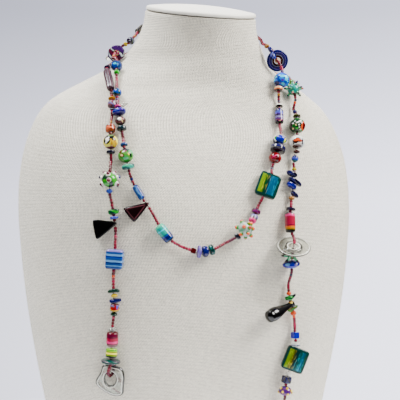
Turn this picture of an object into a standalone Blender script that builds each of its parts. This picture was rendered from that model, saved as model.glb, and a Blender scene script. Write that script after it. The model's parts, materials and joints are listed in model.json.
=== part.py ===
"""Beaded necklace on a neck bust.

One long open string of glass beads and dark red seed beads goes twice over a linen-covered bust:
up the outer left strand from its free end, behind the neck, down and round the inner loop, behind
the neck again, and down the outer right strand. Metres, +Z up, the bust's front faces -Y.
"""
from math import acos, cos, pi, radians, sin, tan

import bmesh
import bpy
import numpy as np
from mathutils import Matrix, Vector

# The bust
BUST_HEIGHT = 0.533       # what the sections' heights are shares of
BUST_WIDTH = 0.361        # across the shoulders
BUST_DEPTH = 0.191        # front to back at the chest
BUST_SIDES = 40
CAP_SIDES = 30
CAP_THICKNESS = 0.0045    # cap over the neck, at its rim
CAP_DOME = 0.004          # how far the cap's middle stands above its rim

# The string and the beads
BEAD = 0.0143             # diameter of a round lampwork bead; the charts' sizes are shares of it
SEED = 0.003              # diameter of a seed bead
THREAD = 0.0012           # beading thread
BEAD_SIDES = 10
STEP = 0.0090             # spacing of the string's points along a run of seed beads

# Clearances
GAP = 0.0003              # between neighbours that touch
REST_GAP = 0.0006         # between the bust and what lies on it
DRILL_ROOM = 0.0004       # between the thread and the wall of a drilled hole
NEIGHBOUR_GAP = 0.0008    # along the string, between one bead's share of it and the next one's

# Sections of the bust from its foot to the top of the neck. height is a share of BUST_HEIGHT, wide a
# share of half BUST_WIDTH; middle, front and back are shares of BUST_DEPTH forward (-) or behind (+)
# the shoulder line; tilt turns the section down at the front, in degrees; full is the section's power.
SECTION_COLUMNS = ("height", "wide", "middle", "front", "back", "tilt", "full")
SECTIONS = (
    (0.000, 0.676, 0.000, -0.419, 0.251, 0.0, 2.30),
    (0.113, 0.765, 0.000, -0.482, 0.283, 0.0, 2.30),
    (0.229, 0.842, 0.000, -0.539, 0.309, 0.0, 2.30),
    (0.351, 0.914, 0.000, -0.602, 0.325, 0.0, 2.30),
    (0.441, 0.956, 0.000, -0.639, 0.335, 0.0, 2.30),
    (0.535, 0.986, 0.000, -0.654, 0.340, 0.0, 2.30),
    (0.610, 1.000, 0.000, -0.644, 0.346, 0.0, 2.30),
    (0.677, 0.992, 0.000, -0.613, 0.340, 0.0, 2.30),
    (0.722, 0.970, 0.000, -0.581, 0.330, 0.0, 2.30),
    (0.764, 0.931, 0.000, -0.545, 0.314, 0.0, 2.25),
    (0.795, 0.886, 0.000, -0.518, 0.293, 0.0, 2.20),
    (0.816, 0.837, 0.000, -0.503, 0.272, 0.0, 2.15),
    (0.831, 0.781, -0.010, -0.492, 0.251, 0.0, 2.10),
    (0.844, 0.715, -0.031, -0.487, 0.220, 0.0, 2.10),
    (0.861, 0.618, -0.063, -0.487, 0.173, 1.0, 2.05),
    (0.880, 0.510, -0.105, -0.490, 0.120, 3.0, 2.00),
    (0.899, 0.438, -0.147, -0.492, 0.084, 5.0, 2.00),
    (0.917, 0.393, -0.199, -0.497, 0.058, 7.0, 2.00),
    (0.938, 0.355, -0.225, -0.508, 0.042, 9.0, 2.00),
    (0.961, 0.330, -0.241, -0.524, 0.026, 11.0, 2.00),
    (0.988, 0.317, -0.252, -0.541, 0.014, 15.0, 2.00),
)
SECTION_TABLE = np.array(SECTIONS)
NECK_TOP = SECTIONS[-1][0]
# Heights of the bust's rings between the sections above: (from, to, how many)
RING_RUNS = ((0.0, 0.70, 11), (0.70, 0.82, 5), (0.82, 0.94, 9), (0.94, NECK_TOP, 2))

# The string's route, its chosen points in order from the free end. around: degrees round the bust
# from its front, minus towards the outer left strand; up: share of BUST_HEIGHT; over: how far the
# string is raised there, in seed beads, where it crosses itself behind the neck.
ROUTE_COLUMNS = ("around", "up", "over")
ROUTE = {
    "outer_left": (
        (-36.0, 0.336, 0), (-35.0, 0.375, 0), (-34.4, 0.410, 0), (-33.2, 0.445, 0), (-33.4, 0.480, 0),
        (-32.3, 0.524, 0), (-31.8, 0.570, 0), (-32.2, 0.605, 0), (-33.1, 0.635, 0), (-32.9, 0.672, 0),
        (-33.2, 0.715, 0), (-34.7, 0.758, 0), (-36.6, 0.796, 0), (-40.2, 0.819, 0), (-49.5, 0.845, 0),
        (-66.0, 0.866, 0)),
    "nape_first": (
        (-84.0, 0.882, 0), (-105.0, 0.900, 0), (-130.0, 0.918, 0), (-155.0, 0.934, 0), (180.0, 0.945, 0),
        (155.0, 0.954, 0), (130.0, 0.956, 0), (105.0, 0.954, 0), (85.0, 0.949, 0)),
    "inner_right": (
        (67.0, 0.938, 0), (60.0, 0.928, 0), (57.0, 0.910, 0), (50.0, 0.882, 0), (36.0, 0.853, 0),
        (28.8, 0.838, 0), (25.6, 0.818, 0), (21.5, 0.785, 0), (19.6, 0.757, 0), (17.1, 0.729, 0),
        (15.0, 0.706, 0), (13.3, 0.684, 0), (11.3, 0.653, 0), (8.6, 0.622, 0), (6.8, 0.597, 0),
        (4.0, 0.575, 0), (1.4, 0.559, 0), (-1.5, 0.544, 0), (-4.0, 0.537, 0)),
    "inner_left": (
        (-6.5, 0.535, 0), (-9.3, 0.539, 0), (-12.0, 0.546, 0), (-15.0, 0.558, 0), (-17.6, 0.579, 0),
        (-20.0, 0.606, 0), (-23.6, 0.637, 0), (-26.0, 0.662, 0), (-27.6, 0.694, 0), (-29.0, 0.727, 0),
        (-31.0, 0.760, 0), (-33.6, 0.790, 0), (-39.0, 0.826, 0), (-49.0, 0.854, 0), (-64.0, 0.876, 0),
        (-83.0, 0.897, 0), (-97.0, 0.920, 0)),
    "nape_second": (
        (-108.0, 0.938, 0), (-119.0, 0.952, 0), (-140.0, 0.960, 0), (-165.0, 0.954, 1.3),
        (165.0, 0.945, 1.3), (140.0, 0.930, 0), (115.0, 0.912, 0), (93.0, 0.891, 0), (75.0, 0.872, 0)),
    "outer_right": (
        (61.0, 0.860, 0), (51.0, 0.853, 0), (38.0, 0.836, 0), (32.0, 0.808, 0), (27.2, 0.768, 0),
        (24.4, 0.733, 0), (22.8, 0.706, 0), (21.6, 0.680, 0), (20.6, 0.655, 0), (19.5, 0.620, 0),
        (18.3, 0.590, 0), (18.4, 0.556, 0), (17.8, 0.535, 0), (18.5, 0.513, 0), (19.3, 0.480, 0),
        (19.6, 0.452, 0), (20.8, 0.434, 0), (23.0, 0.410, 0), (24.0, 0.382, 0), (23.7, 0.361, 0),
        (24.2, 0.330, 0), (22.2, 0.303, 0), (22.0, 0.275, 0), (23.2, 0.240, 0), (24.0, 0.205, 0)),
}

# The charts: what is strung on each strand, in order. at: share of the strand's length; long, wide
# and deep: size along the string, across it and out from the bust, as shares of BEAD; roll and lean:
# degrees that the piece turns in the bust's surface and out of it; spin: degrees about the string;
# aside: how far its middle lies to the right of the string, as a share of BEAD. Rows of kind "accent"
# are small beads of the string.
CHART_COLUMNS = ("name", "kind", "at", "long", "wide", "deep", "roll", "lean", "spin", "aside", "colour")
CHARTS = {
    "outer_left": (
        ("green_disc", "disc", 0.014, 0.24, 1.27, 1.27, 0, -6, 0, 0, "dark_green"),
        ("lime_barrel", "barrel", 0.037, 0.62, 0.77, 0.77, 0, 0, 0, 0, "lime"),
        ("magenta_barrel", "barrel", 0.067, 1.00, 0.78, 0.78, 0, 0, 0, 0, "magenta"),
        ("clear_bead_left", "accent", 0.099, 0.20, 0.60, 0.60, 0, 0, 0, 0, "clear"),
        ("dark_bead_left", "accent", 0.151, 0.27, 0.48, 0.48, 0, 0, 0, 0, "dark_green"),
        ("striped_bead_small", "accent", 0.170, 0.52, 0.60, 0.60, 0, 0, 0, 0, "olive"),
        ("chip_left", "accent", 0.190, 0.28, 0.62, 0.62, 0, 0, 0, 0, "navy"),
        ("yellow_bead_left", "accent", 0.203, 0.27, 0.45, 0.45, 0, 0, 0, 0, "yellow"),
        ("chip_green_left", "accent", 0.217, 0.26, 0.62, 0.62, 0, 0, 0, 0, "dark_green"),
        ("striped_cube_blue", "cube", 0.312, 1.28, 1.13, 0.90, 0, 0, 0, 0, "blue"),
        ("black_triangle", "triangle_black", 0.412, 0.36, 0.42, 0.42, 0, 0, 0, 0, "black"),
        ("disc_blue_grey", "accent", 0.430, 0.20, 0.56, 0.56, 0, 0, 0, 0, "blue"),
        ("chip_green_upper", "accent", 0.447, 0.28, 0.64, 0.64, 0, 0, 0, 0, "dark_green"),
        ("bead_blue_low", "accent", 0.505, 0.30, 0.44, 0.44, 0, 0, 0, 0, "cobalt"),
        ("bumpy_green", "bumpy", 0.531, 0.96, 1.06, 1.06, 0, 0, 0, 0, "green"),
        ("black_disc", "accent", 0.619, 0.24, 0.58, 0.58, 0, 0, 0, 0, "black"),
        ("lampwork_yellow", "round", 0.646, 0.96, 1.00, 1.00, 0, 0, 0, 0, "yellow"),
        ("terracotta_bead", "barrel", 0.692, 0.46, 0.67, 0.67, 0, 0, 0, 0, "terracotta"),
        ("lavender_bead", "barrel", 0.772, 0.38, 0.62, 0.62, 0, 0, 0, 0, "lavender"),
        ("bead_olive", "accent", 0.793, 0.28, 0.50, 0.50, 0, 0, 0, 0, "olive"),
        ("fluted_tube", "fluted", 0.866, 2.10, 0.57, 0.57, 0, 0, 0, 0, "grey"),
        ("dark_cap", "accent", 0.955, 0.25, 0.46, 0.46, 0, 0, 0, 0, "navy")),
    "inner_right": (
        ("bead_gold", "accent", 0.028, 0.27, 0.38, 0.38, 0, 0, 0, 0, "gold"),
        ("indigo_disc", "face_ring", 0.106, 0.21, 1.58, 1.58, 0, 0, 0, 0, "indigo"),
        ("sky_bead", "round", 0.199, 1.06, 1.14, 1.14, 0, 0, 0, 0, "sky"),
        ("bead_peach", "accent", 0.238, 0.28, 0.60, 0.60, 0, 0, 0, 0, "peach"),
        ("disc_white", "accent", 0.304, 0.16, 0.54, 0.54, 0, 0, 0, 0, "white"),
        ("barrel_purple", "barrel", 0.350, 1.10, 0.60, 0.60, 0, 0, 0, 0, "purple"),
        ("lampwork_cobalt", "round", 0.453, 0.76, 1.00, 1.00, 0, 0, 0, 0, "cobalt"),
        ("striped_disc_blue", "barrel", 0.487, 0.44, 1.04, 1.04, 0, 0, 0, 0, "navy"),
        ("red_bead", "round", 0.523, 0.76, 0.88, 0.88, 0, 0, 0, 0, "red"),
        ("foil_square_mid", "square", 0.635, 1.72, 1.48, 0.50, 0, 0, -20, 0, "teal"),
        ("disc_purple_mid", "accent", 0.738, 0.34, 0.62, 0.62, 0, 0, 0, 0, "purple"),
        ("barrel_grey", "barrel", 0.768, 0.56, 0.54, 0.54, 0, 0, 0, 0, "lavender"),
        ("spiky_clear", "bumpy", 0.820, 0.90, 1.04, 1.04, 0, 0, 0, 0, "clear"),
        ("chip_navy_low", "accent", 0.856, 0.28, 0.42, 0.42, 0, 0, 0, 0, "navy"),
        ("green_disc_low", "disc", 0.958, 0.34, 0.72, 0.72, 0, 0, 0, 0, "dark_green")),
    "inner_left": (
        ("navy_disc_low", "disc", -0.018, 0.38, 0.76, 0.76, 0, 0, 0, 0, "navy"),
        ("purple_disc_low", "disc", 0.004, 0.22, 0.84, 0.84, 0, 0, 0, 0, "purple"),
        ("cube_red", "accent", 0.023, 0.34, 0.36, 0.36, 0, 0, 0, 0, "red"),
        ("barrel_turquoise", "barrel", 0.137, 1.30, 0.70, 0.70, 0, 0, 0, 0, "teal"),
        ("maroon_triangle", "triangle_maroon", 0.247, 0.38, 0.42, 0.42, 0, 0, 0, 0, "maroon"),
        ("blue_tube", "barrel", 0.296, 1.02, 0.46, 0.46, 0, 0, 0, 0, "blue"),
        ("turquoise_disc", "disc", 0.387, 0.34, 0.86, 0.86, 0, 0, 0, 0, "turquoise"),
        ("lampwork_flower", "round", 0.421, 0.94, 1.04, 1.04, 0, 0, 0, 0, "green"),
        ("bead_blue_grey", "accent", 0.463, 0.22, 0.50, 0.50, 0, 0, 0, 0, "navy"),
        ("disc_dark_green", "accent", 0.524, 0.30, 0.66, 0.66, 0, 0, 0, 0, "dark_green"),
        ("lampwork_white", "round", 0.549, 0.58, 0.74, 0.74, 0, 0, 0, 0, "white"),
        ("cobalt_swirl", "round", 0.578, 0.52, 0.94, 0.94, 0, 0, 0, 0, "cobalt"),
        ("bead_pink", "accent", 0.601, 0.16, 0.44, 0.44, 0, 0, 0, 0, "pink"),
        ("teal_bead", "round", 0.662, 0.58, 0.60, 0.60, 0, 0, 0, 0, "turquoise"),
        ("bead_bright_green", "accent", 0.748, 0.32, 0.42, 0.42, 0, 0, 0, 0, "green"),
        ("faceted_blue", "round", 0.784, 0.72, 0.84, 0.84, 0, 0, 0, 0, "blue"),
        ("purple_ring", "face_ring", 0.880, 0.27, 1.30, 1.30, 0, 0, 0, 0, "purple"),
        ("bead_yellow_top", "accent", 0.938, 0.26, 0.34, 0.34, 0, 0, 0, 0, "yellow"),
        ("cluster_top", "accent", 0.966, 0.34, 0.58, 0.58, 0, 0, 0, 0, "lavender")),
    "nape_second": (
        ("tube_ridged", "accent", 0.062, 1.00, 0.46, 0.46, 0, 0, 0, 0, "olive"),
        ("bead_olive_right", "accent", 0.955, 0.34, 0.42, 0.42, 0, 0, 0, 0, "olive")),
    "outer_right": (
        ("spiky_aqua", "bumpy", 0.084, 0.84, 0.88, 0.88, 0, 0, 0, 0, "aqua"),
        ("cone_indigo", "accent", 0.149, 0.32, 0.32, 0.32, 0, 0, 0, 0, "indigo"),
        ("ring_olive", "accent", 0.166, 0.18, 0.56, 0.56, 0, 0, 0, 0, "olive"),
        ("lampwork_dark_green", "round", 0.195, 1.06, 1.16, 1.16, 0, 0, 0, 0, "dark_green"),
        ("lampwork_clear", "round", 0.242, 0.98, 1.10, 1.10, 0, 0, 0, 0, "peach"),
        ("bead_brown", "accent", 0.263, 0.26, 0.46, 0.46, 0, 0, 0, 0, "olive"),
        ("blue_bead", "round", 0.276, 0.52, 0.50, 0.50, 0, 0, 0, 0, "cobalt"),
        ("bead_yellow_right", "accent", 0.315, 0.24, 0.34, 0.34, 0, 0, 0, 0, "yellow"),
        ("navy_chip_1", "chip", 0.330, 0.21, 0.76, 0.74, 16, 0, 0, -0.20, "black"),
        ("navy_chip_2", "chip", 0.345, 0.22, 0.98, 0.76, 24, 0, 0, 0.10, "navy"),
        ("navy_chip_3", "chip", 0.360, 0.22, 0.74, 0.68, 22, 0, 0, -0.20, "cobalt"),
        ("navy_chip_4", "chip", 0.373, 0.20, 0.60, 0.60, 24, 0, 0, 0.22, "navy"),
        ("bead_yellow_lower", "accent", 0.388, 0.28, 0.42, 0.42, 0, 0, 0, 0, "yellow"),
        ("disc_purple_right", "accent", 0.420, 0.20, 0.66, 0.66, 0, 0, 0, 0, "purple"),
        ("pink_barrel", "barrel", 0.455, 1.40, 0.72, 0.72, 0, 0, 0, 0, "magenta"),
        ("clear_disc_big", "disc", 0.515, 0.18, 2.30, 2.30, -24, 30, 0, 0, "clear"),
        ("spiky_green", "accent", 0.540, 0.34, 0.60, 0.60, 0, 0, 0, 0, "green"),
        ("cobalt_bead", "round", 0.559, 0.58, 1.22, 1.22, 0, 0, 0, 0, "cobalt"),
        ("bead_orange", "accent", 0.637, 0.26, 0.36, 0.36, 0, 0, 0, 0, "peach"),
        ("chip_green_a", "accent", 0.646, 0.24, 0.58, 0.58, 0, 0, 0, 0, "dark_green"),
        ("black_drop", "drop", 0.668, 0.36, 0.36, 0.50, 0, 0, 0, 0, "black"),
        ("bead_amber", "accent", 0.694, 0.34, 0.42, 0.42, 0, 0, 0, 0, "peach"),
        ("cube_cobalt", "accent", 0.754, 0.46, 0.46, 0.46, 0, 0, 0, 0, "cobalt"),
        ("flare_clear", "accent", 0.775, 0.30, 0.62, 0.62, 0, 0, 0, 0, "clear"),
        ("foil_square_low", "square", 0.814, 1.70, 1.60, 0.50, 8, 0, -28, -0.12, "teal"),
        ("bead_white_low", "accent", 0.853, 0.26, 0.40, 0.40, 0, 0, 0, 0, "white"),
        ("cube_navy", "accent", 0.872, 0.50, 0.54, 0.54, 0, 0, 0, 0, "navy"),
        ("bumpy_purple", "bumpy", 0.903, 0.66, 0.90, 0.90, 0, 0, 0, 0, "purple"),
        ("bead_end", "accent", 0.990, 0.34, 0.42, 0.42, 0, 0, 0, 0, "red")),
}

BUMP_HEIGHT = 0.15        # how far a bump stands out of a bumpy bead, as a share of BEAD

# The free end's glass ring, in the plane it hangs in: right and up of the middle of its hole's top
# edge, as shares of BEAD
END_RING_OUTLINE = (
    (-0.60, 0.46), (-0.10, 0.52), (0.82, 0.38), (0.96, -0.24), (0.92, -0.90), (0.94, -1.50),
    (0.40, -1.68), (-0.25, -1.48), (-0.78, -1.16), (-1.06, -0.80), (-0.86, -0.38), (-0.68, -0.06))
END_RING_HOLE = (0.36, 0.46)        # half width and half height of its hole
END_RING_THICKNESS = 0.36
END_RING_SLACK = 0.0024             # seed-bead loop left above it, in metres
# Corners of the two flat triangles, right and up of the drilled tip, as shares of BEAD
TRIANGLES = {
    "triangle_black": ((0.28, 0.12), (-1.52, 0.33), (-1.22, -1.12)),
    "triangle_maroon": ((0.29, 0.23), (-1.66, -0.22), (-0.84, -1.26)),
}
TRIANGLE_THICKNESS = 0.42
TRIANGLE_CORNER = 0.09              # share of each side that its worn corners take
# The drop's profile: distance down its own axis from the drilled hole, and radius, as shares of BEAD
DROP_PROFILE = (
    (-0.20, 0.00), (-0.18, 0.12), (0.00, 0.17), (0.62, 0.25), (1.26, 0.38), (1.80, 0.47),
    (2.16, 0.43), (2.42, 0.27), (2.50, 0.00))
DROP_SLOPE = 15                     # degrees below level at which the drop lies
DROP_RISE = 14                      # degrees by which its wide end stands further out than its tip
# Which way the two flat rings face, in degrees round the bust's front and up
FACE_RING_FACING = {"indigo_disc": (-12.0, -14.0), "purple_ring": (-24.0, 6.0)}
FACE_RING_LIFT = {"indigo_disc": 0.90, "purple_ring": 0.62}     # centre above the bust, shares of BEAD
FACE_RING_SIDES = {"indigo_disc": 16, "purple_ring": 8}
FACE_RING_HOLE = 0.26
FACE_RING_BEAD = 0.21               # radius of the bead that fills the hole

COLOURS = {
    "linen": (0.78, 0.77, 0.73), "cap": (0.80, 0.80, 0.77), "seed_red": (0.22, 0.01, 0.03),
    "dark_green": (0.02, 0.12, 0.07), "lime": (0.50, 0.62, 0.10), "magenta": (0.55, 0.04, 0.18),
    "clear": (0.80, 0.85, 0.84), "olive": (0.25, 0.25, 0.06), "navy": (0.01, 0.02, 0.10),
    "yellow": (0.75, 0.60, 0.04), "blue": (0.08, 0.25, 0.48), "black": (0.01, 0.01, 0.012),
    "cobalt": (0.01, 0.03, 0.45), "green": (0.10, 0.40, 0.10), "terracotta": (0.52, 0.28, 0.15),
    "lavender": (0.42, 0.38, 0.48), "grey": (0.33, 0.33, 0.36), "gold": (0.45, 0.32, 0.08),
    "indigo": (0.06, 0.04, 0.16), "sky": (0.05, 0.35, 0.75), "peach": (0.75, 0.42, 0.22),
    "white": (0.80, 0.80, 0.76), "purple": (0.16, 0.06, 0.22), "red": (0.40, 0.01, 0.02),
    "teal": (0.02, 0.38, 0.36), "maroon": (0.10, 0.01, 0.03), "turquoise": (0.02, 0.50, 0.46),
    "pink": (0.75, 0.20, 0.35), "aqua": (0.30, 0.60, 0.45),
}


def rows(table, columns):
    """Each row of a table as a dictionary of its named columns."""
    return [dict(zip(columns, row)) for row in table]


def smooth(at, knots, values):
    """A smooth curve through values at knots, read at one place or many."""
    knots = np.asarray(knots, float)
    values = np.asarray(values, float)
    at = np.clip(np.asarray(at, float), knots[0], knots[-1])
    steps = np.diff(knots)
    slopes = np.diff(values) / steps
    bend = np.empty(len(knots))
    bend[0] = slopes[0]
    bend[-1] = slopes[-1]
    bend[1:-1] = (slopes[:-1] * steps[1:] + slopes[1:] * steps[:-1]) / (steps[:-1] + steps[1:])
    i = np.clip(np.searchsorted(knots, at) - 1, 0, len(steps) - 1)
    t = (at - knots[i]) / steps[i]
    lower = values[i] * (1 + 2 * t) * (1 - t) ** 2 + bend[i] * steps[i] * t * (1 - t) ** 2
    upper = values[i + 1] * t * t * (3 - 2 * t) - bend[i + 1] * steps[i] * t * t * (1 - t)
    return lower + upper


def skin(around, height):
    """The bust's surface: a place round it, in degrees from its front, at a share of its height."""
    wide, middle, front, back, tilt, full = (
        smooth(height, SECTION_TABLE[:, 0], SECTION_TABLE[:, column]) for column in range(1, 7))
    side = np.sin(np.radians(around))
    fore = np.cos(np.radians(around))
    x = BUST_WIDTH / 2 * wide * np.sign(side) * np.abs(side) ** (2 / full)
    reach = np.where(fore > 0, front, back)
    y = BUST_DEPTH * (middle + (reach - middle) * np.abs(fore) ** (2 / full))
    drop = (y - BUST_DEPTH * (front + back) / 2) * np.tan(np.radians(tilt))
    return np.stack([x, y, BUST_HEIGHT * height + drop], -1)


def outward(around, height):
    """The direction straight out of the bust's surface."""
    turn = 0.5
    rise = 0.001
    across = skin(around + turn, height) - skin(around - turn, height)
    up = skin(around, np.minimum(height + rise, NECK_TOP)) - skin(around, height - rise)
    out = np.cross(across, up)
    return out / np.linalg.norm(out, axis=-1, keepdims=True)


def read_route():
    """The string's route on the bust: distance, place, outward direction and rise, and the strands' ends."""
    points = []
    first = {}
    for strand, table in ROUTE.items():
        first[strand] = len(points)
        for row in rows(table, ROUTE_COLUMNS):
            around = row["around"]
            while points and around > points[-1][0] + 180:
                around -= 360
            while points and around < points[-1][0] - 180:
                around += 360
            points.append((around, row["up"], row["over"]))
    around, up, over = np.array(points).T
    chord = np.linalg.norm(np.diff(skin(around, up), axis=0), axis=1)
    knots = np.concatenate([[0.0], np.cumsum(chord)])
    fine = np.linspace(0.0, knots[-1], 1700)
    turn, height, rise = (smooth(fine, knots, values) for values in (around, up, over))
    place = skin(turn, height)
    run = np.concatenate([[0.0], np.cumsum(np.linalg.norm(np.diff(place, axis=0), axis=1))])
    starts = {strand: float(np.interp(knots[i], fine, run)) for strand, i in first.items()}
    return run, place, outward(turn, height), rise, starts


RUN, PLACE, OUT, RISE, STARTS = read_route()
STRANDS = tuple(STARTS)
LENGTH = float(RUN[-1])
SEED_LIFT = SEED / 2 + REST_GAP


def strand_ends(strand):
    """Where a strand starts and ends along the whole route."""
    later = STRANDS.index(strand) + 1
    return STARTS[strand], STARTS[STRANDS[later]] if later < len(STRANDS) else LENGTH


def on_route(run, lift):
    """A place on the route at a distance along it, lifted off the bust."""
    run = np.clip(run, 0.0, LENGTH)
    place = np.array([np.interp(run, RUN, PLACE[:, k]) for k in range(3)])
    out = np.array([np.interp(run, RUN, OUT[:, k]) for k in range(3)])
    out /= np.linalg.norm(out)
    return place + out * (lift + SEED * float(np.interp(run, RUN, RISE))), out


class Strung:
    """One bead on the string: its row, its place, its frame and how much of the string it takes."""

    def __init__(self, row, strand):
        start, end = strand_ends(strand)
        self.row = row
        self.name = row["name"]
        self.kind = row["kind"]
        self.strand = strand
        self.run = start + row["at"] * (end - start)
        self.long = row["long"] * BEAD
        self.wide = row["wide"] * BEAD
        self.deep = row["deep"] * BEAD
        self.lean = radians(row["lean"])
        self.roll = radians(row["roll"])
        self.spin = radians(row["spin"])
        self.slant = acos(cos(self.lean) * cos(self.roll))
        self.lift = self.deep / 2 * cos(self.lean) + self.long / 2 * abs(sin(self.lean)) + REST_GAP
        self.lift += self.wide / 2 * abs(sin(self.spin))
        self.hold = (self.long / 2 + GAP + SEED / 2 * sin(self.slant)) / cos(self.slant)
        if self.kind == "bumpy":
            self.lift += BUMP_HEIGHT * BEAD
        if self.kind == "accent":
            self.hold = self.long / 2
        if self.kind == "face_ring":
            self.lift = FACE_RING_LIFT[self.name] * BEAD
            self.hold = self.wide / 2

    def settle(self, lift_at):
        """Work out the bead's centre and frame from the string around it."""
        lift_before = lift_at(self.run - self.hold)
        lift_after = lift_at(self.run + self.hold)
        half_chord = self.hold + SEED
        before, _ = on_route(self.run - half_chord, lift_before)
        after, _ = on_route(self.run + half_chord, lift_after)
        self.centre, out = on_route(self.run, max(self.lift, (lift_before + lift_after) / 2))
        self.along = Vector(after - before).normalized()
        self.out = Vector(out)
        up = self.along if self.along.z >= 0 else -self.along
        inward = -(self.out - self.out.dot(up) * up).normalized()
        self.frame = Matrix((inward.cross(up), inward, up)).transposed()
        if self.kind == "face_ring":
            turn, rise = (radians(angle) for angle in FACE_RING_FACING[self.name])
            face = Vector((sin(turn) * cos(rise), -cos(turn) * cos(rise), sin(rise)))
            side = Vector((0, 0, 1)).cross(face).normalized()
            self.face = face if self.along.z < 0 else -face
            self.frame = Matrix((side, face.cross(side), face)).transposed()

    def turned(self):
        """The bead's frame with its own spin, roll and lean."""
        tilt = Matrix.Rotation(self.roll, 3, "Y") @ Matrix.Rotation(self.lean, 3, "X")
        return self.frame @ Matrix.Rotation(self.spin, 3, "Z") @ tilt

    def upright(self):
        """A frame in the bust's surface whose Z stays as near straight up as it can."""
        up = Vector((0, 0, 1))
        up = (up - up.dot(self.out) * self.out).normalized()
        return Matrix((-self.out.cross(up), -self.out, up)).transposed()


def string_beads():
    """Every bead in order along the string, none closer to its neighbour than a touch."""
    strung = []
    for strand in STRANDS:
        for row in rows(CHARTS.get(strand, ()), CHART_COLUMNS):
            bead = Strung(row, strand)
            if strung:
                bead.run = max(bead.run, strung[-1].run + strung[-1].hold + bead.hold + NEIGHBOUR_GAP)
            strung.append(bead)
    reach = 1.4 * BEAD

    def lift_at(run):
        lift = SEED_LIFT
        for bead in strung:
            past = abs(run - bead.run) - bead.hold
            if past < reach:
                share = 0.5 + 0.5 * cos(pi * max(past, 0.0) / reach)
                lift = max(lift, SEED_LIFT + (bead.lift - SEED_LIFT) * share)
        return lift

    for bead in strung:
        bead.settle(lift_at)
    return strung, lift_at


def collection(name):
    made = bpy.data.collections.new(name)
    bpy.context.scene.collection.children.link(made)
    return made


def material(name):
    """A plain Principled material of a named colour."""
    key = "mat_" + name
    if key in bpy.data.materials:
        return bpy.data.materials[key]
    made = bpy.data.materials.new(key)
    made.use_nodes = True
    shader = made.node_tree.nodes["Principled BSDF"]
    shader.inputs["Base Color"].default_value = (*COLOURS[name], 1.0)
    shader.inputs["Roughness"].default_value = 0.85 if name in ("linen", "cap") else 0.12
    return made


def add_object(name, data, colour, home):
    made = bpy.data.objects.new(name, data)
    home.objects.link(made)
    if colour:
        own = material(colour).copy()
        own.name = "mat_" + name
        data.materials.append(own)
    return made


def place(made, frame, centre):
    made.matrix_world = Matrix.Translation(Vector(centre)) @ frame.to_4x4()


def as_mesh(made):
    """Replace an object that carries modifiers, or a curve, with a plain mesh object in its place."""
    bpy.context.view_layer.update()
    graph = bpy.context.evaluated_depsgraph_get()
    mesh = bpy.data.meshes.new_from_object(made.evaluated_get(graph))
    work = bmesh.new()
    work.from_mesh(mesh)
    bmesh.ops.remove_doubles(work, verts=work.verts, dist=1e-6)
    work.to_mesh(mesh)
    work.free()
    name = made.name
    world = made.matrix_world.copy()
    home = made.users_collection[0]
    bpy.data.objects.remove(made)
    plain = bpy.data.objects.new(name, mesh)
    plain.matrix_world = world
    home.objects.link(plain)
    return plain


def shade(made, angle=35):
    made.data.shade_smooth()
    made.data.set_sharp_from_angle(angle=radians(angle))


def add_screw(made, sides):
    screw = made.modifiers.new("turn", "SCREW")
    screw.steps = sides
    screw.render_steps = sides
    screw.use_merge_vertices = True
    screw.merge_threshold = 0.00001


def loop_object(name, points, closed, colour, home):
    """An object whose mesh is one line of edges in the XZ plane."""
    mesh = bpy.data.meshes.new(name)
    work = bmesh.new()
    corners = [work.verts.new((x, 0.0, z)) for x, z in points]
    for here, there in zip(corners, corners[1:]):
        work.edges.new((here, there))
    if closed:
        work.edges.new((corners[-1], corners[0]))
    work.to_mesh(mesh)
    work.free()
    return add_object(name, mesh, colour, home)


def drill_radius(bead, sides=BEAD_SIDES):
    """A hole wide enough for the thread to pass straight through a bead that leans on it."""
    room = THREAD / 2 + DRILL_ROOM + bead.long / 2 * tan(bead.slant)
    return room / cos(pi / sides)


# How square each turned kind's side is, from a ball (1) towards a cylinder (0), and how many points
# its outer side has
TURNED = {"round": (1.0, 7), "bumpy": (1.0, 7), "barrel": (0.42, 6), "fluted": (0.30, 6),
          "disc": (0.55, 6), "chip": (0.45, 6)}


def side_profile(bead, drill):
    """The outer side of a drilled, turned bead, top to bottom."""
    square, count = TURNED[bead.kind]
    rim = drill + 0.03 * BEAD
    points = []
    for step in range(count):
        angle = pi * step / (count - 1)
        across = bead.wide / 2 * sin(angle) ** square
        height = bead.long / 2 * np.sign(cos(angle)) * abs(cos(angle)) ** square
        points.append((max(across, rim), height))
    return points


def turned_bead(bead, home):
    """A drilled round bead, its closed profile turned about the thread."""
    sides = {"fluted": 16, "disc": 12}.get(bead.kind, BEAD_SIDES)
    drill = drill_radius(bead, sides)
    profile = side_profile(bead, drill) + [(drill, -bead.long / 2), (drill, bead.long / 2)]
    made = loop_object(bead.name, profile, True, bead.row["colour"], home)
    add_screw(made, sides)
    made = as_mesh(made)
    squash = bead.deep / bead.wide
    for vertex in made.data.vertices:
        x, y, z = vertex.co
        radius = (x * x + y * y) ** 0.5
        if radius > drill * 1.02:
            flute = 1.0
            if bead.kind == "fluted" and round(np.arctan2(y, x) / (2 * pi) * sides) % 2:
                flute = 0.86
            shift = bead.row["aside"] * BEAD * (radius - drill) / (bead.wide / 2 - drill)
            vertex.co = (x * flute + shift, y * flute * squash, z)
    if bead.kind == "bumpy":
        raise_bumps(bead, made.data, sides)
    place(made, bead.turned(), bead.centre)
    shade(made)


def raise_bumps(bead, mesh, sides):
    """Push single corners of a bead out into bumps, staggered from ring to ring."""
    for vertex in mesh.vertices:
        x, y, z = vertex.co
        level = round(3 * z / (bead.long / 2) / 0.87)
        turn = round(np.arctan2(y, x) / (2 * pi) * sides)
        far = (x * x + y * y) ** 0.5 > bead.wide * 0.22
        if far and abs(level) < 3 and (turn + 2 * (level % 2)) % 4 == 0:
            push = 1 + BUMP_HEIGHT * BEAD / (x * x + y * y) ** 0.5
            vertex.co = (x * push, y * push, z)


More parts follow.
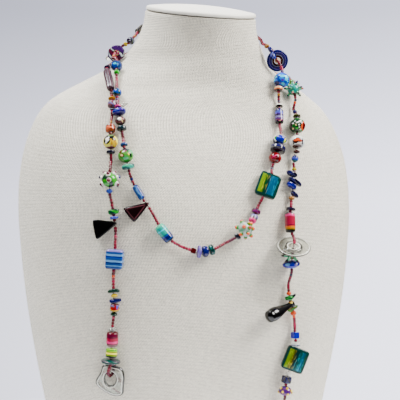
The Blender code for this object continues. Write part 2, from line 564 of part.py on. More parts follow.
def face_ring(bead, home):
    """A flat glass ring that faces out, with the string coming through its wide hole."""
    hole = FACE_RING_HOLE * BEAD
    radius = bead.wide / 2
    half = bead.long / 2
    profile = [(hole, half), (radius - half, half), (radius, half * 0.4), (radius, -half * 0.4),
               (radius - half, -half), (hole, -half)]
    made = loop_object(bead.name, profile, True, bead.row["colour"], home)
    add_screw(made, FACE_RING_SIDES[bead.name])
    made = as_mesh(made)
    place(made, bead.frame, bead.centre)
    shade(made)


def cut_hole(made, bead, length, home_cutters):
    """Drill a piece along the thread with an exact cut."""
    bpy.ops.mesh.primitive_cylinder_add(vertices=8, radius=drill_radius(bead, 8), depth=length)
    cutter = bpy.context.object
    cutter.name = "drill_" + bead.name
    for home in list(cutter.users_collection):
        home.objects.unlink(cutter)
    home_cutters.objects.link(cutter)
    cutter.matrix_world = (Matrix.Translation(Vector(bead.centre))
                           @ bead.along.to_track_quat("Z", "X").to_matrix().to_4x4())
    cutter.hide_render = True
    cutter.display_type = "WIRE"
    cut = made.modifiers.new("drill", "BOOLEAN")
    cut.operation = "DIFFERENCE"
    cut.object = cutter
    cut.solver = "EXACT"


def boxy_bead(bead, home, cutters):
    """A cube or a flat square cushion of glass, its edges bevelled, drilled along the thread."""
    bpy.ops.mesh.primitive_cube_add(size=1.0)
    made = bpy.context.object
    for holder in list(made.users_collection):
        holder.objects.unlink(made)
    home.objects.link(made)
    made.name = bead.name
    made.data.name = bead.name
    made.data.transform(Matrix.Diagonal((bead.wide, bead.deep, bead.long, 1.0)))
    own = material(bead.row["colour"]).copy()
    own.name = "mat_" + bead.name
    made.data.materials.append(own)
    edge = made.modifiers.new("edge", "BEVEL")
    edge.width = 0.14 * bead.deep if bead.kind == "cube" else 0.26 * bead.deep
    edge.segments = 2
    place(made, bead.turned(), bead.centre)
    cut_hole(made, bead, bead.long * 1.5, cutters)


def outline_piece(name, splines, thickness, edge, colour, home):
    """A flat piece from its outline, and its hole if it has one, with its edges bevelled."""
    curve = bpy.data.curves.new(name, "CURVE")
    curve.dimensions = "2D"
    curve.fill_mode = "BOTH"
    curve.extrude = thickness / 2 - edge
    curve.bevel_depth = edge
    curve.bevel_resolution = 0
    curve.offset = -edge
    for points in splines:
        spline = curve.splines.new("POLY")
        spline.points.add(len(points) - 1)
        for corner, (x, y) in zip(spline.points, points):
            corner.co = (x, y, 0.0, 1.0)
        spline.use_cyclic_u = True
    made = add_object(name, curve, colour, home)
    return as_mesh(made)


def standing(frame):
    """Turn a frame so that a flat outline drawn in XY stands in its XZ plane."""
    return frame @ Matrix.Rotation(radians(90), 3, "X")


def clipped(corners, share):
    """An outline with each corner cut off at a share of its two sides."""
    cut = []
    for before, here, there in zip(corners[-1:] + corners, corners, corners[1:] + corners[:1]):
        for other in (before, there):
            cut.append(tuple(share * a + (1 - share) * b for a, b in zip(other, here)))
    return cut


def triangle(bead, home, cutters):
    corners = clipped([(x * BEAD, y * BEAD) for x, y in TRIANGLES[bead.kind]], TRIANGLE_CORNER)
    made = outline_piece(bead.name, [corners], TRIANGLE_THICKNESS * BEAD, 0.08 * BEAD,
                         bead.row["colour"], home)
    place(made, standing(bead.upright()), bead.centre)
    cut_hole(made, bead, 0.9 * BEAD, cutters)


def drop(bead, home, cutters):
    """A long drop that lies out to the left, drilled through its narrow end."""
    profile = [(radius * BEAD, -down * BEAD) for down, radius in DROP_PROFILE]
    made = loop_object(bead.name, profile, False, bead.row["colour"], home)
    add_screw(made, BEAD_SIDES)
    slope = Matrix.Rotation(radians(90 - DROP_SLOPE), 3, "Y")
    frame = bead.upright() @ slope @ Matrix.Rotation(radians(-DROP_RISE), 3, "X")
    place(made, frame, bead.centre)
    made = as_mesh(made)
    cut_hole(made, bead, 0.7 * BEAD, cutters)


def end_ring_frame(first_bead):
    """The free end's ring: its frame, and the place of its hole's top edge below the first bead."""
    frame = first_bead.frame
    lift = REST_GAP + SEED + GAP + END_RING_THICKNESS * BEAD / 2
    down = first_bead.long / 2 + GAP + END_RING_OUTLINE[1][1] * BEAD + END_RING_SLACK
    base = Vector(first_bead.centre) - first_bead.out * first_bead.lift
    return frame, base + first_bead.out * lift - frame.col[2] * down, lift, down


def end_ring(first_bead, home):
    frame, top, _, _ = end_ring_frame(first_bead)
    outer = [(x * BEAD, y * BEAD) for x, y in END_RING_OUTLINE]
    wide, high = (half * BEAD for half in END_RING_HOLE)
    corners = 12
    hole = [(wide * sin(2 * pi * k / corners), high * (cos(2 * pi * k / corners) - 1))
            for k in range(corners)]
    made = outline_piece("end_ring", [outer, hole], END_RING_THICKNESS * BEAD, 0.10 * BEAD,
                         "clear", home)
    place(made, standing(frame), top)


def end_loop(first_bead):
    """The string's own loop through the free end's ring: behind its rim, through its hole, in front."""
    frame, _, lift, down = end_ring_frame(first_bead)
    base = Vector(first_bead.centre) - first_bead.out * first_bead.lift
    back = SEED_LIFT
    front = lift + END_RING_THICKNESS * BEAD / 2 + GAP + SEED / 2
    turn = down + GAP * 5 + SEED / 2
    start = first_bead.long / 2 + SEED * 0.4
    wander = SEED * 0.6
    path = (
        (start, back + SEED * 0.4, wander), (start + SEED, back, wander), (turn - SEED * 0.8, back, wander),
        (turn, lift - SEED * 0.9, wander / 2), (turn + SEED * 0.2, lift, 0.0),
        (turn, lift + SEED * 0.9, -wander / 2), (turn - SEED * 0.8, front, -wander),
        (start + SEED, front, -wander / 2), (start, first_bead.lift, 0.0))
    return [(base + first_bead.out * out - frame.col[2] * below + frame.col[0] * aside, SEED / 2)
            for below, out, aside in path]


def strand_end(run, way, lift_at):
    """The squared-off end of a strand, where it meets the next strand face to face."""
    before = Vector(on_route(run - SEED, lift_at(run - SEED))[0])
    after = Vector(on_route(run + SEED, lift_at(run + SEED))[0])
    middle = Vector(on_route(run, lift_at(run))[0])
    along = (after - before).normalized() * way
    return [(middle + along * (GAP / 2), SEED / 2), (middle + along * SEED / 2, SEED / 2)]


def string_points(strand, strung, lift_at):
    """The string of one strand: seed-bead wide between the beads, thin where it goes through them."""
    start, end = strand_ends(strand)
    cursor = start
    thick = SEED / 2
    thin = THREAD / 2
    shoulder = SEED * 0.2
    points = []

    def run_to(stop):
        count = max(1, round((stop - cursor) / STEP))
        for k in range(1, count):
            run = cursor + (stop - cursor) * k / count
            points.append((Vector(on_route(run, lift_at(run))[0]), thick))

    mine = [bead for bead in strung if start < bead.run + bead.hold and bead.run - bead.hold < end]
    inside = start < mine[0].run - mine[0].hold if mine else True
    if strand == STRANDS[0]:
        points += end_loop(mine[0])
        cursor = mine[0].run - mine[0].hold
    elif inside:
        points += strand_end(start, 1, lift_at)
        cursor = start + SEED
    for bead, following in zip(mine, mine[1:] + [None]):
        centre = Vector(bead.centre)
        before = bead.run - bead.hold
        after = bead.run + bead.hold
        seeds_before = before > cursor + SEED * 0.7
        seeds_after = following is None or following.run - following.hold > after + SEED * 0.7
        if seeds_before:
            run_to(before)
        if bead.kind == "accent":
            points.append((centre - bead.along * bead.long / 2, thick if seeds_before else thin))
            points.append((centre, bead.wide / 2))
            points.append((centre + bead.along * bead.long / 2, thick if seeds_after else thin))
        elif bead.kind == "face_ring":
            clear = bead.long / 2 + thick + GAP * 2
            points.append((centre - bead.face * clear - bead.along * (bead.hold + thick), thick))
            points.append((centre - bead.face * clear, thick * 0.8))
            points.append((centre, FACE_RING_BEAD * BEAD))
            points.append((centre + bead.face * clear, thick * 0.8))
            points.append((centre + bead.face * clear + bead.along * bead.hold, thick))
        else:
            if seeds_before:
                points.append((centre - bead.along * (bead.hold + shoulder), thick))
            if before > start:
                points.append((centre - bead.along * bead.hold, thin))
            if after < end:
                points.append((centre + bead.along * bead.hold, thin))
                if seeds_after:
                    points.append((centre + bead.along * (bead.hold + shoulder), thick))
        cursor = after
    if cursor < end:
        run_to(end - SEED)
        points += reversed(strand_end(end, -1, lift_at))
    return points


def string_tube(strand, strung, lift_at, home):
    points = string_points(strand, strung, lift_at)
    curve = bpy.data.curves.new("string_" + strand, "CURVE")
    curve.dimensions = "3D"
    curve.bevel_depth = 1.0
    curve.bevel_resolution = 2
    curve.use_fill_caps = True
    spline = curve.splines.new("POLY")
    spline.points.add(len(points) - 1)
    for corner, (centre, radius) in zip(spline.points, points):
        corner.co = (*centre, 1.0)
        corner.radius = radius
    add_object("string_" + strand, curve, "seed_red", home)


def neck_bust(home):
    """The linen-covered form: a loft through its sections, closed at the foot and the neck."""
    heights = [0.0]
    for low, high, count in RING_RUNS:
        heights += [low + (high - low) * k / count for k in range(1, count + 1)]
    turns = np.linspace(0.0, 360.0, BUST_SIDES, endpoint=False)
    mesh = bpy.data.meshes.new("neck_bust")
    work = bmesh.new()
    rings = [[work.verts.new(corner) for corner in skin(turns, height)] for height in heights]
    for low, high in zip(rings, rings[1:]):
        for k in range(BUST_SIDES):
            after = (k + 1) % BUST_SIDES
            work.faces.new((low[k], low[after], high[after], high[k]))
    work.faces.new(list(reversed(rings[0])))
    work.faces.new(rings[-1])
    work.to_mesh(mesh)
    work.free()
    made = add_object("neck_bust", mesh, "linen", home)
    shade(made, 50)


def neck_cap(home):
    """The domed cap that closes the neck, lying along its slanted top."""
    top = skin(np.array([0.0, 90.0, 180.0]), NECK_TOP)
    middle = Vector((top[0] + top[2]) / 2)
    wide = float(top[1][0])
    deep = float(np.linalg.norm(top[2] - top[0])) / 2
    profile = [(0.0, CAP_THICKNESS + CAP_DOME), (0.45 * wide, CAP_THICKNESS + 0.80 * CAP_DOME),
               (0.80 * wide, CAP_THICKNESS + 0.36 * CAP_DOME), (0.96 * wide, CAP_THICKNESS * 0.95),
               (wide, CAP_THICKNESS * 0.6), (wide, CAP_THICKNESS * 0.25), (0.985 * wide, 0.0), (0.0, 0.0)]
    made = loop_object("neck_cap", profile, False, "cap", home)
    add_screw(made, CAP_SIDES)
    tilt = Matrix.Rotation(radians(SECTIONS[-1][5]), 3, "X")
    lifted = middle + tilt.col[2] * GAP
    made = as_mesh(made)
    made.data.transform(Matrix.Diagonal((1.0, deep / wide, 1.0, 1.0)))
    place(made, tilt, lifted)
    shade(made)


def build():
    for made in list(bpy.data.objects):
        bpy.data.objects.remove(made)
    home = collection("beaded_necklace_on_bust")
    cutters = collection("cutters")
    neck_bust(home)
    neck_cap(home)
    strung, lift_at = string_beads()
    for bead in strung:
        if bead.kind == "face_ring":
            face_ring(bead, home)
        elif bead.kind in TURNED:
            turned_bead(bead, home)
        elif bead.kind in ("cube", "square"):
            boxy_bead(bead, home, cutters)
        elif bead.kind in TRIANGLES:
            triangle(bead, home, cutters)
        elif bead.kind == "drop":
            drop(bead, home, cutters)
    end_ring(strung[0], home)
    for strand in STRANDS:
        string_tube(strand, strung, lift_at, home)


build()
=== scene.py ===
"""The beaded necklace on its linen-covered neck bust, as it looks.

Metres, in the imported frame: +Z up, the bust's chest faces -Y. The string's route and the charts of
what is strung on it are the part's own, so each detailed bead sits where its solid does.
"""

import json
from copy import copy
from math import acos, ceil, cos, pi, radians, sin

import bmesh
import bpy
import numpy as np
from mathutils import Matrix, Vector


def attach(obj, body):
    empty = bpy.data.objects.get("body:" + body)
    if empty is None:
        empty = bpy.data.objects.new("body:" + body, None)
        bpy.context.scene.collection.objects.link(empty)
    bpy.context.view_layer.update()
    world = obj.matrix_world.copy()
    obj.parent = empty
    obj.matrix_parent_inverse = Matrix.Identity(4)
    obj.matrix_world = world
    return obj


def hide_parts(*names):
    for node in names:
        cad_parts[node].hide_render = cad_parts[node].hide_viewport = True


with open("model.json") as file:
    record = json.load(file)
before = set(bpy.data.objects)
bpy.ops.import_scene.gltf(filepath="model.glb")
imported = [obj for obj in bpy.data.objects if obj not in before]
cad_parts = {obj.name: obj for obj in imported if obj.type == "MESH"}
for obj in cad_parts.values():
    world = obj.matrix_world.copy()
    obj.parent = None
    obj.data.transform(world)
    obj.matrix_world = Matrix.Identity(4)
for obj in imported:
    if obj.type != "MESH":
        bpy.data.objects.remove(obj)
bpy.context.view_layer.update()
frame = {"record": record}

# ---- Sizes, in metres
BUST_HEIGHT = 0.533
BUST_WIDTH = 0.361
BUST_DEPTH = 0.191
CAP_THICKNESS = 0.0045
CAP_DOME = 0.004
BEAD = 0.0143             # diameter of a round lampwork bead; the charts' sizes are shares of it
SEED = 0.003              # diameter of a seed bead
SEED_WIDTH = 0.0036       # as drawn, wider than the solid string, to show as strongly as in the photograph
SEED_PITCH = 0.0026       # from one seed bead to the next
THREAD = 0.0009
GAP = 0.0003
REST_GAP = 0.0006
NEIGHBOUR_GAP = 0.0008
SEED_LIFT = SEED / 2 + REST_GAP
WEAVE_PITCH = 0.0014      # from one linen thread to the next
WEAVE_RELIEF = 0.0006     # how far the threads stand out of the cloth
BUST_RIM = 0.003          # height over which the neck's top edge rounds off
BUST_SIDES = 128
CAP_STEPS = 10            # rings of the cap's domed top
CAP_CROWN_POWER = 2.2     # how flat the dome's middle is
HOLE_CORNERS = 48         # round the end ring's hole

# Faces of the small repeated shapes: round a seed bead and round its wall, and round and up a dot
SEED_SIDES = 10
SEED_WALL_SIDES = 5
SEED_WALL = 0.17          # a share of its width
DOT_SIDES = 10
DOT_RINGS = 7

# Camera, in metres, degrees and millimetres
CAMERA_PLACE = (-0.2953, -0.9555, 0.334)
CAMERA_TILT = 90.0
CAMERA_LENS = 82.8
CAMERA_SENSOR = 36.0

# Softboxes: place, width and height, watts, and colour; all face the middle of the chest
LIGHTS_FACE = (0.0, -0.05, 0.36)
LIGHT_COLUMNS = ("name", "place", "size", "power", "colour")
LIGHTS = (
    ("window_light", (1.3, -0.9, 1.7), (1.1, 1.1), 126.0, (1.0, 0.98, 0.95)),
    ("fill_light", (-1.0, 0.0, 2.4), (0.9, 0.9), 134.0, (0.97, 0.98, 1.0)),
    ("back_light", (0.3, 1.6, 1.3), (1.6, 1.0), 16.0, (1.0, 1.0, 1.0)),
)

# The floor's paper: its radius, its colour, and the distances over which it fades into the backdrop
FLOOR_RADIUS = 40.0
FLOOR_COLOUR = (0.80, 0.81, 0.86, 1.0)
FLOOR_FADE = (0.30, 0.62)

# The photograph's view: its right and the direction away from it, as seen from the front left
VIEW_AZIMUTH = -18.0
VIEW_RIGHT = Vector((cos(radians(VIEW_AZIMUTH)), sin(radians(VIEW_AZIMUTH)), 0.0))
VIEW_AWAY = Vector((-sin(radians(VIEW_AZIMUTH)), cos(radians(VIEW_AZIMUTH)), 0.0))
VIEW_UP = Vector((0.0, 0.0, 1.0))

# ---- The bust's sections, from its foot to the top of the neck, as shares of its sizes
SECTIONS = np.array((
    (0.000, 0.676, 0.000, -0.419, 0.251, 0.0, 2.30),
    (0.113, 0.765, 0.000, -0.482, 0.283, 0.0, 2.30),
    (0.229, 0.842, 0.000, -0.539, 0.309, 0.0, 2.30),
    (0.351, 0.914, 0.000, -0.602, 0.325, 0.0, 2.30),
    (0.441, 0.956, 0.000, -0.639, 0.335, 0.0, 2.30),
    (0.535, 0.986, 0.000, -0.654, 0.340, 0.0, 2.30),
    (0.610, 1.000, 0.000, -0.644, 0.346, 0.0, 2.30),
    (0.677, 0.992, 0.000, -0.613, 0.340, 0.0, 2.30),
    (0.722, 0.970, 0.000, -0.581, 0.330, 0.0, 2.30),
    (0.764, 0.931, 0.000, -0.545, 0.314, 0.0, 2.25),
    (0.795, 0.886, 0.000, -0.518, 0.293, 0.0, 2.20),
    (0.816, 0.837, 0.000, -0.503, 0.272, 0.0, 2.15),
    (0.831, 0.781, -0.010, -0.492, 0.251, 0.0, 2.10),
    (0.844, 0.715, -0.031, -0.487, 0.220, 0.0, 2.10),
    (0.861, 0.618, -0.063, -0.487, 0.173, 1.0, 2.05),
    (0.880, 0.510, -0.105, -0.490, 0.120, 3.0, 2.00),
    (0.899, 0.438, -0.147, -0.492, 0.084, 5.0, 2.00),
    (0.917, 0.393, -0.199, -0.497, 0.058, 7.0, 2.00),
    (0.938, 0.355, -0.225, -0.508, 0.042, 9.0, 2.00),
    (0.961, 0.330, -0.241, -0.524, 0.026, 11.0, 2.00),
    (0.988, 0.317, -0.252, -0.541, 0.014, 15.0, 2.00),
))
NECK_TOP = SECTIONS[-1][0]

# ---- The string's route on the bust: degrees round it from the front, share of its height, and how
# far it is raised over itself, in seed beads
ROUTE = {
    "outer_left": (
        (-36.0, 0.336, 0), (-35.0, 0.375, 0), (-34.4, 0.410, 0), (-33.2, 0.445, 0), (-33.4, 0.480, 0),
        (-32.3, 0.524, 0), (-31.8, 0.570, 0), (-32.2, 0.605, 0), (-33.1, 0.635, 0), (-32.9, 0.672, 0),
        (-33.2, 0.715, 0), (-34.7, 0.758, 0), (-36.6, 0.796, 0), (-40.2, 0.819, 0), (-49.5, 0.845, 0),
        (-66.0, 0.866, 0)),
    "nape_first": (
        (-84.0, 0.882, 0), (-105.0, 0.900, 0), (-130.0, 0.918, 0), (-155.0, 0.934, 0), (180.0, 0.945, 0),
        (155.0, 0.954, 0), (130.0, 0.956, 0), (105.0, 0.954, 0), (85.0, 0.949, 0)),
    "inner_right": (
        (67.0, 0.938, 0), (60.0, 0.928, 0), (57.0, 0.910, 0), (50.0, 0.882, 0), (36.0, 0.853, 0),
        (28.8, 0.838, 0), (25.6, 0.818, 0), (21.5, 0.785, 0), (19.6, 0.757, 0), (17.1, 0.729, 0),
        (15.0, 0.706, 0), (13.3, 0.684, 0), (11.3, 0.653, 0), (8.6, 0.622, 0), (6.8, 0.597, 0),
        (4.0, 0.575, 0), (1.4, 0.559, 0), (-1.5, 0.544, 0), (-4.0, 0.537, 0)),
    "inner_left": (
        (-6.5, 0.535, 0), (-9.3, 0.539, 0), (-12.0, 0.546, 0), (-15.0, 0.558, 0), (-17.6, 0.579, 0),
        (-20.0, 0.606, 0), (-23.6, 0.637, 0), (-26.0, 0.662, 0), (-27.6, 0.694, 0), (-29.0, 0.727, 0),
        (-31.0, 0.760, 0), (-33.6, 0.790, 0), (-39.0, 0.826, 0), (-49.0, 0.854, 0), (-64.0, 0.876, 0),
        (-83.0, 0.897, 0), (-97.0, 0.920, 0)),
    "nape_second": (
        (-108.0, 0.938, 0), (-119.0, 0.952, 0), (-140.0, 0.960, 0), (-165.0, 0.954, 1.3),
        (165.0, 0.945, 1.3), (140.0, 0.930, 0), (115.0, 0.912, 0), (93.0, 0.891, 0), (75.0, 0.872, 0)),
    "outer_right": (
        (61.0, 0.860, 0), (51.0, 0.853, 0), (38.0, 0.836, 0), (32.0, 0.808, 0), (27.2, 0.768, 0),
        (24.4, 0.733, 0), (22.8, 0.706, 0), (21.6, 0.680, 0), (20.6, 0.655, 0), (19.5, 0.620, 0),
        (18.3, 0.590, 0), (18.4, 0.556, 0), (17.8, 0.535, 0), (18.5, 0.513, 0), (19.3, 0.480, 0),
        (19.6, 0.452, 0), (20.8, 0.434, 0), (23.0, 0.410, 0), (24.0, 0.382, 0), (23.7, 0.361, 0),
        (24.2, 0.330, 0), (22.2, 0.303, 0), (22.0, 0.275, 0), (23.2, 0.240, 0), (24.0, 0.205, 0)),
}

# ---- What is strung on each strand, in order: share of the strand's length; size along the string,
# across it and out from the bust, in BEAD; roll, lean and spin in degrees; how far off the string its
# middle lies, in BEAD; and its form. Rows of kind "accent" are the string's own small beads.
CHART_COLUMNS = ("name", "kind", "at", "long", "wide", "deep", "roll", "lean", "spin", "aside", "form")
CHARTS = {
    "outer_left": (
        ("green_disc", "bead", 0.014, 0.24, 1.27, 1.27, 0, -6, 0, 0, "disc"),
        ("lime_barrel", "bead", 0.037, 0.62, 0.77, 0.77, 0, 0, 0, 0, "barrel"),
        ("magenta_barrel", "bead", 0.067, 1.00, 0.78, 0.78, 0, 0, 0, 0, "barrel"),
        ("clear_bead_left", "accent", 0.099, 0.20, 0.60, 0.60, 0, 0, 0, 0, "disc"),
        ("dark_bead_left", "accent", 0.151, 0.27, 0.48, 0.48, 0, 0, 0, 0, "round"),
        ("striped_bead_small", "accent", 0.170, 0.52, 0.60, 0.60, 0, 0, 0, 0, "barrel"),
        ("chip_left", "accent", 0.190, 0.28, 0.62, 0.62, 0, 0, 0, 0, "chip"),
        ("yellow_bead_left", "accent", 0.203, 0.27, 0.45, 0.45, 0, 0, 0, 0, "round"),
        ("chip_green_left", "accent", 0.217, 0.26, 0.62, 0.62, 0, 0, 0, 0, "chip"),
        ("striped_cube_blue", "bead", 0.312, 1.28, 1.13, 0.90, 0, 0, 0, 0, "cube"),
        ("black_triangle", "bead", 0.412, 0.36, 0.42, 0.42, 0, 0, 0, 0, "triangle"),
        ("disc_blue_grey", "accent", 0.430, 0.20, 0.56, 0.56, 0, 0, 0, 0, "disc"),
        ("chip_green_upper", "accent", 0.447, 0.28, 0.64, 0.64, 0, 0, 0, 0, "chip"),
        ("bead_blue_low", "accent", 0.505, 0.30, 0.44, 0.44, 0, 0, 0, 0, "round"),
        ("bumpy_green", "bead", 0.531, 0.96, 1.06, 1.06, 0, 0, 0, 0, "bumpy"),
        ("black_disc", "accent", 0.619, 0.24, 0.58, 0.58, 0, 0, 0, 0, "disc"),
        ("lampwork_yellow", "bead", 0.646, 0.96, 1.00, 1.00, 0, 0, 0, 0, "round"),
        ("terracotta_bead", "bead", 0.692, 0.46, 0.67, 0.67, 0, 0, 0, 0, "barrel"),
        ("lavender_bead", "bead", 0.772, 0.38, 0.62, 0.62, 0, 0, 0, 0, "barrel"),
        ("bead_olive", "accent", 0.793, 0.28, 0.50, 0.50, 0, 0, 0, 0, "round"),
        ("fluted_tube", "bead", 0.866, 2.10, 0.57, 0.57, 0, 0, 0, 0, "fluted"),
        ("dark_cap", "accent", 0.955, 0.25, 0.46, 0.46, 0, 0, 0, 0, "disc")),
    "inner_right": (
        ("bead_gold", "accent", 0.028, 0.27, 0.38, 0.38, 0, 0, 0, 0, "round"),
        ("indigo_disc", "ring", 0.106, 0.21, 1.58, 1.58, 0, 0, 0, 0, "face_ring"),
        ("sky_bead", "bead", 0.199, 1.06, 1.14, 1.14, 0, 0, 0, 0, "round"),
        ("bead_peach", "accent", 0.238, 0.28, 0.60, 0.60, 0, 0, 0, 0, "barrel"),
        ("disc_white", "accent", 0.304, 0.16, 0.54, 0.54, 0, 0, 0, 0, "disc"),
        ("barrel_purple", "bead", 0.350, 1.10, 0.60, 0.60, 0, 0, 0, 0, "barrel"),
        ("lampwork_cobalt", "bead", 0.453, 0.76, 1.00, 1.00, 0, 0, 0, 0, "round"),
        ("striped_disc_blue", "bead", 0.487, 0.44, 1.04, 1.04, 0, 0, 0, 0, "barrel"),
        ("red_bead", "bead", 0.523, 0.76, 0.88, 0.88, 0, 0, 0, 0, "round"),
        ("foil_square_mid", "bead", 0.635, 1.72, 1.48, 0.50, 0, 0, -20, 0, "square"),
        ("disc_purple_mid", "accent", 0.738, 0.34, 0.62, 0.62, 0, 0, 0, 0, "disc"),
        ("barrel_grey", "bead", 0.768, 0.56, 0.54, 0.54, 0, 0, 0, 0, "barrel"),
        ("spiky_clear", "bead", 0.820, 0.90, 1.04, 1.04, 0, 0, 0, 0, "bumpy"),
        ("chip_navy_low", "accent", 0.856, 0.28, 0.42, 0.42, 0, 0, 0, 0, "chip"),
        ("green_disc_low", "bead", 0.958, 0.34, 0.72, 0.72, 0, 0, 0, 0, "disc")),
    "inner_left": (
        ("navy_disc_low", "bead", -0.018, 0.38, 0.76, 0.76, 0, 0, 0, 0, "disc"),
        ("purple_disc_low", "bead", 0.004, 0.22, 0.84, 0.84, 0, 0, 0, 0, "disc"),
        ("cube_red", "accent", 0.023, 0.34, 0.36, 0.36, 0, 0, 0, 0, "cube"),
        ("barrel_turquoise", "bead", 0.137, 1.30, 0.70, 0.70, 0, 0, 0, 0, "barrel"),
        ("maroon_triangle", "bead", 0.247, 0.38, 0.42, 0.42, 0, 0, 0, 0, "triangle"),
        ("blue_tube", "bead", 0.296, 1.02, 0.46, 0.46, 0, 0, 0, 0, "barrel"),
        ("turquoise_disc", "bead", 0.387, 0.34, 0.86, 0.86, 0, 0, 0, 0, "disc"),
        ("lampwork_flower", "bead", 0.421, 0.94, 1.04, 1.04, 0, 0, 0, 0, "round"),
        ("bead_blue_grey", "accent", 0.463, 0.22, 0.50, 0.50, 0, 0, 0, 0, "disc"),
        ("disc_dark_green", "accent", 0.524, 0.30, 0.66, 0.66, 0, 0, 0, 0, "disc"),
        ("lampwork_white", "bead", 0.549, 0.58, 0.74, 0.74, 0, 0, 0, 0, "round"),
        ("cobalt_swirl", "bead", 0.578, 0.52, 0.94, 0.94, 0, 0, 0, 0, "round"),
        ("bead_pink", "accent", 0.601, 0.16, 0.44, 0.44, 0, 0, 0, 0, "disc"),
        ("teal_bead", "bead", 0.662, 0.58, 0.60, 0.60, 0, 0, 0, 0, "round"),
        ("bead_bright_green", "accent", 0.748, 0.32, 0.42, 0.42, 0, 0, 0, 0, "round"),
        ("faceted_blue", "bead", 0.784, 0.72, 0.84, 0.84, 0, 0, 0, 0, "faceted"),
        ("purple_ring", "ring", 0.880, 0.27, 1.30, 1.30, 0, 0, 0, 0, "face_ring"),
        ("bead_yellow_top", "accent", 0.938, 0.26, 0.34, 0.34, 0, 0, 0, 0, "round"),
        ("cluster_top", "accent", 0.966, 0.34, 0.58, 0.58, 0, 0, 0, 0, "disc")),
    "nape_second": (
        ("tube_ridged", "accent", 0.062, 1.00, 0.46, 0.46, 0, 0, 0, 0, "fluted"),
        ("bead_olive_right", "accent", 0.955, 0.34, 0.42, 0.42, 0, 0, 0, 0, "round")),
    "outer_right": (
        ("spiky_aqua", "bead", 0.084, 0.84, 0.88, 0.88, 0, 0, 0, 0, "bumpy"),
        ("cone_indigo", "accent", 0.149, 0.32, 0.32, 0.32, 0, 0, 0, 0, "round"),
        ("ring_olive", "accent", 0.166, 0.18, 0.56, 0.56, 0, 0, 0, 0, "disc"),
        ("lampwork_dark_green", "bead", 0.195, 1.06, 1.16, 1.16, 0, 0, 0, 0, "round"),
        ("lampwork_clear", "bead", 0.242, 0.98, 1.10, 1.10, 0, 0, 0, 0, "round"),
        ("bead_brown", "accent", 0.263, 0.26, 0.46, 0.46, 0, 0, 0, 0, "round"),
        ("blue_bead", "bead", 0.276, 0.52, 0.50, 0.50, 0, 0, 0, 0, "round"),
        ("bead_yellow_right", "accent", 0.315, 0.24, 0.34, 0.34, 0, 0, 0, 0, "round"),
        ("navy_chip_1", "bead", 0.330, 0.21, 0.76, 0.74, 16, 0, 0, -0.20, "chip"),
        ("navy_chip_2", "bead", 0.345, 0.22, 0.98, 0.76, 24, 0, 0, 0.10, "chip"),
        ("navy_chip_3", "bead", 0.360, 0.22, 0.74, 0.68, 22, 0, 0, -0.20, "chip"),
        ("navy_chip_4", "bead", 0.373, 0.20, 0.60, 0.60, 24, 0, 0, 0.22, "chip"),
        ("bead_yellow_lower", "accent", 0.388, 0.28, 0.42, 0.42, 0, 0, 0, 0, "round"),
        ("disc_purple_right", "accent", 0.420, 0.20, 0.66, 0.66, 0, 0, 0, 0, "disc"),
        ("pink_barrel", "bead", 0.455, 1.40, 0.72, 0.72, 0, 0, 0, 0, "barrel"),
        ("clear_disc_big", "bead", 0.515, 0.18, 2.30, 2.30, -24, 30, 0, 0, "ringed_disc"),
        ("spiky_green", "accent", 0.540, 0.34, 0.60, 0.60, 0, 0, 0, 0, "bumpy"),
        ("cobalt_bead", "bead", 0.559, 0.58, 1.22, 1.22, 0, 0, 0, 0, "round"),
        ("bead_orange", "accent", 0.637, 0.26, 0.36, 0.36, 0, 0, 0, 0, "round"),
        ("chip_green_a", "accent", 0.646, 0.24, 0.58, 0.58, 0, 0, 0, 0, "chip"),
        ("black_drop", "bead", 0.668, 0.36, 0.36, 0.50, 0, 0, 0, 0, "drop"),
        ("bead_amber", "accent", 0.694, 0.34, 0.42, 0.42, 0, 0, 0, 0, "round"),
        ("cube_cobalt", "accent", 0.754, 0.46, 0.46, 0.46, 0, 0, 0, 0, "cube"),
        ("flare_clear", "accent", 0.775, 0.30, 0.62, 0.62, 0, 0, 0, 0, "barrel"),
        ("foil_square_low", "bead", 0.814, 1.70, 1.60, 0.50, 8, 0, -28, -0.12, "square"),
        ("bead_white_low", "accent", 0.853, 0.26, 0.40, 0.40, 0, 0, 0, 0, "barrel"),
        ("cube_navy", "accent", 0.872, 0.50, 0.54, 0.54, 0, 0, 0, 0, "cube"),
        ("bumpy_purple", "bead", 0.903, 0.66, 0.90, 0.90, 0, 0, 0, 0, "bumpy"),
        ("bead_end", "accent", 0.990, 0.34, 0.42, 0.42, 0, 0, 0, 0, "round")),
}
# Small stones too slight for solids of their own, strung among the others
EXTRAS = {
    "outer_left": (
        ("coil_bead", "extra", 0.757, 0.26, 0.34, 0.34, 0, 0, 0, 0, "round"),),
    "inner_left": (
        ("glass_fin", "extra", 0.600, 0.20, 0.66, 0.24, -18, 0, 0, 0.42, "chip"),
        ("glass_bump", "extra", 0.884, 0.40, 0.40, 0.40, 0, 0, 0, -0.90, "round"),
        ("chip_purple_top", "extra", 0.956, 0.22, 0.40, 0.30, 20, 0, 0, 0.18, "chip")),
    "inner_right": (
        ("chip_navy_top", "extra", 0.043, 0.44, 0.66, 0.44, 20, 0, 0, 0.12, "chip"),
        ("chip_navy_mid", "extra", 0.058, 0.40, 0.60, 0.44, -30, 0, 0, -0.34, "chip")),
    "nape_second": (),
    "outer_right": (
        ("bead_olive_upper", "extra", 0.030, 0.42, 0.46, 0.46, 0, 0, 0, 0, "round"),
        ("shard_grey", "extra", 0.655, 0.22, 0.72, 0.30, -28, 0, 0, 0.30, "chip"),
        ("bead_yellow_drop", "extra", 0.662, 0.18, 0.34, 0.34, 0, 0, 0, 0, "round"),
        ("shard_green", "extra", 0.678, 0.26, 1.02, 0.34, 14, 0, 0, 0.10, "chip"),
        ("shard_olive", "extra", 0.686, 0.20, 0.60, 0.26, 30, 0, 0, -0.16, "chip")),
}
